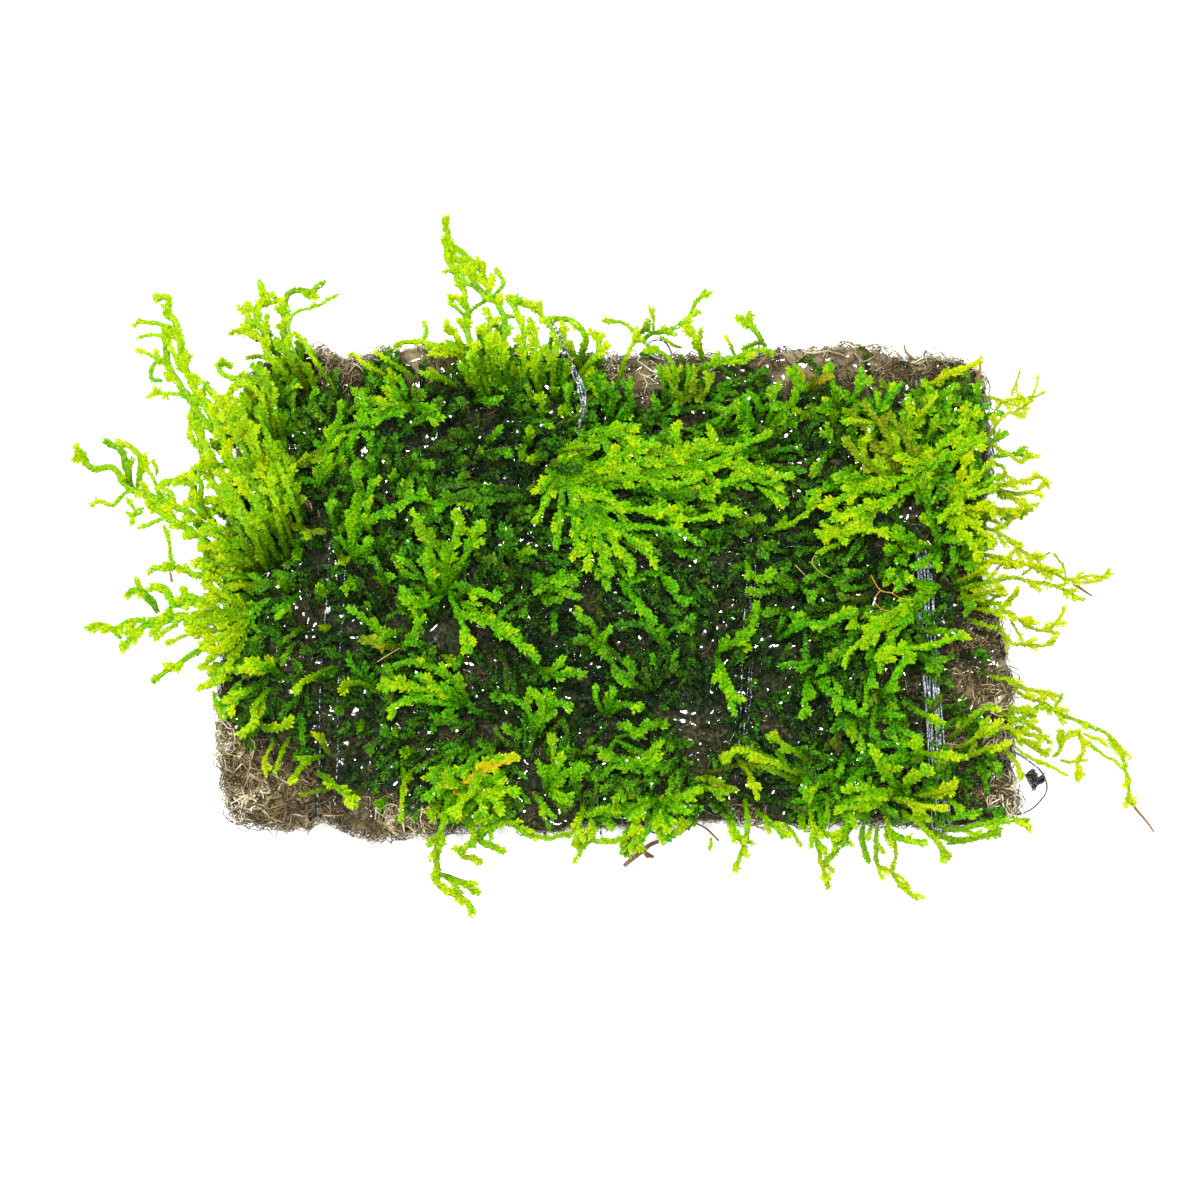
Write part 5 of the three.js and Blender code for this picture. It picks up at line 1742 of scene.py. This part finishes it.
@dataclass
class FibreMat:
    """The pad: a dark felted body, and curled strands that cover its top and its edges."""

    felt: bpy.types.Material
    strands: Growth
    top: float = 8.7
    voxel: float = 1.0
    underside: float = 0.6
    shoulder: float = 0.7
    hummock_scale: float = 0.35
    grain_scale: float = 1.4
    hummock: float = 0.55
    grain: float = 0.4
    film_swell: float = 0.35
    sunk: float = 0.25
    film_stretch: float = 1.6
    film_core: float = 1.5
    film_fading: float = 1.2
    film_raggedness: float = 0.7
    films: tuple[tuple[float, float, float], ...] = (
        (355, 812, 22), (286, 797, 10), (284, 742, 9), (430, 358, 36), (645, 370, 30), (800, 360, 40),
        (850, 357, 42), (1003, 668, 13), (998, 704, 12), (968, 690, 10))
    darker_spots: tuple[tuple[float, float, float], ...] = (
        (905, 362, 50), (780, 362, 34), (262, 700, 24), (304, 770, 62), (240, 775, 14), (968, 640, 40),
        (960, 790, 34))
    spot_darkening: float = 0.42
    fewest: float = 0.035
    edge_share: float = 0.15
    density: float = 4.1
    strand_radius: float = 0.115
    curls: tuple[tuple[str, float], ...] = (("top", 1.5), ("edge", 1.0))

    def rough_body(self) -> bpy.types.Object:
        """Makes the closed body of the pad, even all over."""
        mesh = bpy.data.meshes.new("mat_block")
        work = bmesh.new()
        rings = [[work.verts.new(Vector(PHOTO.placed(pixel, PHOTO.mat_top)[:2].tolist() + [height]) * MM)
                  for pixel in MAT_OUTLINE] for height in (0.0, self.top)]
        work.faces.new(rings[0])
        work.faces.new(rings[1][::-1])
        for i in range(len(MAT_OUTLINE)):
            j = (i + 1) % len(MAT_OUTLINE)
            work.faces.new((rings[0][i], rings[1][i], rings[1][j], rings[0][j]))
        bmesh.ops.recalc_face_normals(work, faces=work.faces)
        work.to_mesh(mesh)
        work.free()
        body = put("mat_felt_body", mesh)
        even = body.modifiers.new("even faces", "REMESH")
        even.mode = "VOXEL"
        even.voxel_size = self.voxel * MM
        made_plain(body)
        return body

    def film_at(self, pixel: Pixel, rough: float) -> float:
        """Finds how much a film of binder covers the strands.

        Args:
            pixel: Where on the mat.
            rough: How high the mat's hummocks are there, from -1 to 1.

        Returns:
            The film's share, from nought to one.
        """
        gone = min(self.film_fading * math.hypot((pixel[0] - x) / self.film_stretch, pixel[1] - y) / radius
                   for x, y, radius in self.films)
        return float(np.clip(self.film_core - gone + self.film_raggedness * rough, 0, 1))

    def spot_darkness_at(self, pixel: Pixel, rough: float) -> float:
        """How far into one of the darker spots a pixel is, from nought to one; the strands are darker there.
        """
        closeness = max(1 - math.hypot(pixel[0] - x, pixel[1] - y) / radius for x, y, radius in self.darker_spots)
        return min(max(closeness + 0.5 * rough, 0.0) * 2, 1.0)

    def shape_body(self, body: bpy.types.Object) -> dict[str, np.ndarray]:
        """Roughens the body's top and sides, and keeps its underside flat.

        Args:
            body: The even body, whose points are moved.

        Returns:
            Shares of film and of bare fibre, how many strands stand on the top and on the edges, and how
            pale they are, for each point; on the top the strands are painted darker under the moss, as
            painted shade.
        """
        mesh = body.data
        places = read_points(mesh) / MM
        normals = read_points(mesh, "normal")
        marks = {name: np.zeros(len(places)) for name in ("film", "bare", "top", "edge", "pale")}
        for i, place in enumerate(places):
            if place[2] < self.underside:
                place[2] = 0.0
                continue
            rough = noise.noise(Vector(place * self.hummock_scale))
            fine = noise.noise(Vector(place * self.grain_scale))
            pixel = PHOTO.pixel_of(place)
            bare = bareness(pixel)
            level = place[2] > self.top - self.shoulder
            film = self.film_at(pixel, rough) if level else 0.0
            swell = (self.hummock * rough + self.grain * fine * (1 - 0.8 * film)
                     + self.film_swell * film - self.sunk)
            if level:
                marks["film"][i] = film
                marks["bare"][i] = bare
                marks["top"][i] = max(bare, self.fewest) * (1 - 0.9 * film)
                # On the top, strands are painted darker where moss covers the mat, as painted shade under
                # the moss, and darker still in the darker spots.
                dark = self.spot_darkening * self.spot_darkness_at(pixel, rough)
                marks["pale"][i] = (0.4 + 0.6 * bare) * (1 - dark)
            else:
                marks["film"][i] = 0.5 * bare
                marks["bare"][i] = 0.3 + 0.7 * bare
                marks["edge"][i] = self.edge_share
                marks["pale"][i] = 1.0
            place += normals[i] * swell
            place[2] = max(place[2], 0.0)
        mesh.vertices.foreach_set("co", (places * MM).ravel())
        mesh.update()
        return marks

    def build(self) -> None:
        """Makes the body and its strands."""
        body = self.rough_body()
        marks = self.shape_body(body)
        for side, curl in self.curls:
            tangle = put(f"fibres_{side}", body.data.copy())
            mark(tangle.data, "bare", marks[side])
            mark(tangle.data, "pale", marks["pale"])
            self.strands.grown(tangle, {
                "Strands for each square metre": self.density / MM**2,
                "Strand radius": self.strand_radius * MM, "Curl radius": curl * MM})
            settled(tangle, "fibre")
        for name in ("film", "bare"):
            mark(body.data, name, marks[name])
        body.data.materials.clear()
        body.data.materials.append(self.felt)
        body.data.shade_smooth()
        settled(body, "fibre", "fibre_mat")


# The third colour of each line finish is its painted glint.
THREAD_FINISHES = {
    "clear": LineFinish("line_clear", srgb(50, 58, 66), srgb(122, 138, 152), srgb(240, 246, 250),
                        glint_size=0.45, glint_from=0.6),
    "dark": LineFinish("line_dark", srgb(18, 20, 26), srgb(44, 50, 58), srgb(205, 212, 220),
                       glint_size=0.6),
    # A grey line that looks silvery from its painted glints.
    "painted_glints": LineFinish("line_silver", srgb(60, 64, 70), srgb(120, 128, 136), srgb(230, 236, 240)),
    "brown": TwigFinish("twig_brown", srgb(84, 52, 26), srgb(150, 98, 48)),
    "orange": TwigFinish("twig_orange", srgb(170, 104, 26), srgb(236, 176, 64)),
    "pale": TwigFinish("twig_pale", srgb(132, 112, 66), srgb(188, 170, 112)),
}


@dataclass(frozen=True)
class Tie:
    """A band of nylon line wound round the pad, from `top` to `bottom` in pixels.

    Its strands run at the offsets, in millimetres to the right of its middle. It lies over the moss
    between the two shares of its length in `seen`, and sinks into it elsewhere.
    """

    name: str
    top: Pixel
    bottom: Pixel
    offsets: tuple[float, ...]
    radius: float
    finish: str
    seen: tuple[float, float]


@dataclass
class Ties:
    """The nylon line that binds the moss to the pad."""

    cord: Growth
    dark_cord: Growth
    over_top: float = 10.4
    sunk: float = 7.9
    under: float = 0.3
    sinking: float = 25.0
    clearance: float = 0.35
    wander: float = 0.22
    bob: float = 0.2
    side_heights: tuple[float, float, float] = (2.5, 5.5, 8.6)
    bends: int = 17
    ties: tuple[Tie, ...] = (
        Tie("left", (345, 362), (324, 817), (-1.4, 1.5), 0.12, "dark", (0.43, 0.97)),
        Tie("middle", (572, 352), (600, 828), (0.0,), 0.16, "dark", (0.9, 0.97)),
        Tie("right", (765, 352), (738, 819), (-0.7, 0.1, 0.6), 0.14, "dark", (0.45, 0.86)),
        Tie("right_end", (905, 363), (940, 827), (-0.9, -0.6, -0.2, 0.1, 0.4, 0.7, 1.1, 1.4, 1.7), 0.13,
            "clear", (0.5, 0.95)),
    )

    def loop(self, tie: Tie, offset: float, rng: np.random.Generator) -> np.ndarray:
        """Winds one strand round the pad.

        Args:
            tie: The band that the strand belongs to.
            offset: How far to the right of the band's middle it runs.
            rng: Where chance comes from.

        Returns:
            Points of the strand, which starts and ends under the pad.
        """
        low, high = (np.array(corner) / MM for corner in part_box(f"tie_{tie.name}"))
        far = PHOTO.placed(tie.top, self.over_top)[0] + offset
        near = PHOTO.placed(tie.bottom, self.over_top)[0] + offset
        y_far, y_near = high[1] - self.clearance, low[1] + self.clearance
        phase = rng.uniform(0, 6)
        low_side, high_side, shoulder = self.side_heights
        points = [(np.mean([far, near]), 0.0, self.under)]
        points += [(far, y_far - 2, self.under), (far, y_far - 0.3, self.under + 0.5)]
        points += [(far, y_far, low_side), (far, y_far, high_side), (far, y_far - 0.2, shoulder)]
        for share in np.linspace(0.015, 0.985, self.bends):
            wander = self.wander * math.sin(phase + share * 13) + rng.normal(0, 0.06)
            hidden = max(tie.seen[0] - share, share - tie.seen[1], 0.0)
            height = max(self.over_top - self.sinking * hidden, self.sunk)
            height += self.bob * math.sin(phase * 2 + share * 21) + rng.normal(0, 0.08)
            points.append((far + (near - far) * share + wander, y_far + (y_near - y_far) * share, height))
        points += [(near, y_near + 0.2, shoulder), (near, y_near, high_side), (near, y_near, low_side)]
        points += [(near, y_near + 0.3, self.under + 0.5), (near, y_near + 2, self.under)]
        points += [(np.mean([far, near]) + 0.05, -0.8, self.under)]
        return smooth_line(np.array(points), 0.5)

    def build(self) -> None:
        """Makes each band of line."""
        rng = np.random.default_rng(SEED + 1)
        for tie in self.ties:
            lines = [self.loop(tie, offset, rng) for offset in tie.offsets]
            piece = line_piece(f"line_{tie.name}", lines, {"girth": [np.ones(len(line)) for line in lines]})
            growth = self.dark_cord if tie.finish == "dark" else self.cord
            growth.grown(piece, {"Line radius": tie.radius * MM})
            settled(piece, "line", f"tie_{tie.name}")


@dataclass(frozen=True)
class Strand:
    """A loose piece of line, thread, root or twig, with its courses, height and radius."""

    name: str
    slot: str
    finish: str
    height: float
    radius: float
    courses: str
    replaces: str = ""
    taper: float = 0.0


@dataclass
class LooseThings:
    """What lies loose: threads, dead twigs and roots, and the tuft of fibre."""

    growths: dict[str, Growth]
    strands: Growth
    things: tuple[Strand, ...] = (
        Strand("slack_thread_loop", "line", "dark", 0.45, 0.15,
               "1008,748 1012,751 1020,755 1030,762 1038,768 1044,776 1047,785 1046,793 1040,801 1033,808 "
               "1024,813 1016,815", "tie_loose_end"),
        Strand("dead_twig_with_roots", "twig", "brown", 0.6, 0.42,
               "624,866 632,859 640,853 650,845 660,841 668,838 676,836/640,846 645,853 648,858/645,853 "
               "650,856 654,857",
               "dead_twig", 0.5),
        Strand("thread_over_fronds", "line", "dark", 18.9, 0.16,
               "555,326 559,336 564,346 569,357 573,367 576,374 580,382/646,345 652,341 660,340 667,344 "
               "671,352 673,358/584,405 583,415 577,433/551,322 556,331 562,338"),
        # A grey thread that looks silvery from its painted glints.
        Strand("painted_glints_thread", "line", "painted_glints", 18.7, 0.15,
               "573,366 577,377 581,389 583,401 580,412/575,370 581,380 585,392 585,404 582,416/579,378 "
               "578,390 582,403 584,412 578,424/572,368 574,378 580,386"),
        Strand("dead_roots", "twig", "orange", 15.2, 0.075,
               "871,575 880,590 892,593 900,598 915,600/880,591 874,600 880,608 893,612/892,593 900,588 "
               "908,590/932,421 938,426 945,430/940,485 944,487 948,490", "", 0.4),
        Strand("pale_roots", "twig", "pale", 14.2, 0.1,
               "815,555 812,563 820,572 830,578/795,565 800,570 805,575/377,662 388,655 400,648/415,595 "
               "416,612 418,640",
               "", 0.4),
        Strand("stray_brown_tips", "twig", "brown", 4.0, 0.2,
               "719,841 714,836 708,830 700,825 692,823", "", 0.5),
    )

    def build(self) -> None:
        """Makes each loose thing, then the tuft of fibre."""
        for thing in self.things:
            lines = [smooth_line(np.array([PHOTO.placed(p, thing.height) for p in course]), 0.5)
                     for course in courses(thing.courses)]
            girths = [1 - thing.taper * np.abs(np.linspace(-0.4, 1, len(line))) for line in lines]
            piece = line_piece(thing.name, lines, {"girth": girths})
            self.growths[thing.finish].grown(piece, {"Line radius": thing.radius * MM})
            settled(piece, thing.slot, *filter(None, [thing.replaces]))
        self.tuft()

    def tuft(self, place: Pixel = (1033, 779), radius: float = 1.0, gap: float = 0.9,
             strands: float = 3.0, thickness: float = 0.12, curl: float = 0.7, lowest: float = 0.05) -> None:
        """Makes the small tuft of fibre that lies inside the slack thread.

        Args:
            place: Where it is seen, in pixels.
            radius: Of the core that the strands stand on, in millimetres.
            gap: How far the core is over the table, in millimetres.
            strands: How many there are on each square millimetre of the core.
            thickness: Radius of a strand, in millimetres.
            curl: Radius of its curl, in millimetres.
            lowest: How far over the table the strands stay, in millimetres.
        """
        mesh = bpy.data.meshes.new("loose_fibre_tuft")
        work = bmesh.new()
        bmesh.ops.create_icosphere(work, subdivisions=2, radius=radius * MM)
        bmesh.ops.translate(work, verts=work.verts, vec=Vector(PHOTO.placed(place, radius + gap)) * MM)
        work.to_mesh(mesh)
        work.free()
        mark(mesh, "bare", np.ones(len(mesh.vertices)))
        piece = put("loose_fibre_tuft", mesh)
        self.strands.grown(piece, {"Strands for each square metre": strands / MM**2,
                                   "Strand radius": thickness * MM, "Curl radius": curl * MM})
        places = read_points(piece.data)
        places[:, 2] = np.clip(places[:, 2], lowest * MM, None)
        piece.data.vertices.foreach_set("co", places.ravel())
        settled(piece, "fibre", "fibre_lump")


class LightShape(Enum):
    """The two kinds of lamp in the studio."""

    PANEL = "RECTANGLE"
    SPOT = "DISK"


@dataclass(frozen=True)
class Lamp:
    """A flat lamp that faces the middle of the object; lengths in metres, power in watts."""

    name: str
    shape: LightShape
    place: tuple[float, float, float]
    size: float
    power: float
    mirrored: bool = True
    colour: tuple[float, float, float] = (1.0, 1.0, 1.0)


@dataclass
class Studio:
    """A white table, soft light from above with four small keys, and a camera that looks straight down."""

    lens: float = 106.8
    sensor: float = 36.0
    floor_size: float = 6.0
    floor_height: float = -0.0002
    floor_colour: Colour = (0.93, 0.93, 0.93, 1.0)
    floor_glow: float = 0.55
    world_light: float = 0.35
    lamps: tuple[Lamp, ...] = (
        Lamp("soft_panel", LightShape.PANEL, (-0.5, 0.6, 1.5), 1.4, 36.5, mirrored=False),
        Lamp("key_right", LightShape.SPOT, (0.22, 0.3, 1.5), 0.13, 6.0),
        Lamp("key_left", LightShape.SPOT, (-0.35, 0.2, 1.4), 0.13, 4.5),
        Lamp("key_front", LightShape.SPOT, (0.05, -0.4, 1.4), 0.13, 4.0),
        Lamp("key_back", LightShape.SPOT, (-0.1, 0.62, 1.3), 0.13, 4.0),
    )

    def build(self) -> None:
        """Makes the camera, the table, the lamps and the world."""
        self.build_camera()
        self.build_floor()
        for lamp in self.lamps:
            light = bpy.data.lights.new(lamp.name, "AREA")
            light.shape = lamp.shape.value
            light.size = lamp.size
            light.size_y = lamp.size
            light.energy = lamp.power
            light.color = lamp.colour
            holder = put(lamp.name, light)
            holder.location = lamp.place
            holder.visible_glossy = lamp.mirrored
            holder.rotation_euler = (-Vector(lamp.place)).to_track_quat("-Z", "Y").to_euler()
        world = bpy.data.worlds.new("studio")
        world.use_nodes = True
        background = world.node_tree.nodes["Background"]
        background.inputs["Strength"].default_value = self.world_light
        background.inputs["Color"].default_value = WHITE
        bpy.context.scene.world = world
        bpy.context.scene.view_settings.view_transform = "Standard"

    def build_camera(self) -> None:
        """Sets the camera where the photograph was taken from."""
        camera = bpy.data.cameras.new("camera")
        camera.sensor_width = self.sensor
        camera.lens = self.lens
        camera.clip_start = 0.01
        holder = put("camera", camera)
        holder.location = Vector(PHOTO.eye) * MM
        bpy.context.scene.camera = holder

    def build_floor(self) -> None:
        """Lays the white table under the object."""
        mesh = bpy.data.meshes.new("table")
        half = self.floor_size / 2
        corners = ((-half, -half), (half, -half), (half, half), (-half, half))
        mesh.from_pydata([(x, y, self.floor_height) for x, y in corners], [], [(0, 1, 2, 3)])
        s = Surface("white_table")
        mesh.materials.append(s.finish(s.add("ShaderNodeBsdfPrincipled", {}, {
            "Base Color": self.floor_colour, "Roughness": 0.9, "Specular IOR Level": 0.1,
            "Emission Color": WHITE, "Emission Strength": self.floor_glow})))
        put("table", mesh)


def main() -> None:
    """Builds the studio, then the object from the mat upwards."""
    logging.basicConfig(level=logging.INFO, format="%(name)s %(message)s", stream=sys.stdout)
    leaves = leafy_stems(LeafFinish().material())
    strands = curled_fibres(FibreFinish().material())
    growths = {name: round_line(finish.material()) for name, finish in THREAD_FINISHES.items()}
    Studio().build()
    FibreMat(MatFinish().material(), strands).build()
    MossBed(leaves).build()
    Fronds(leaves, growths["brown"]).build()
    Ties(growths["clear"], growths["dark"]).build()
    LooseThings(growths, strands).build()


if __name__ == "__main__":
    main()
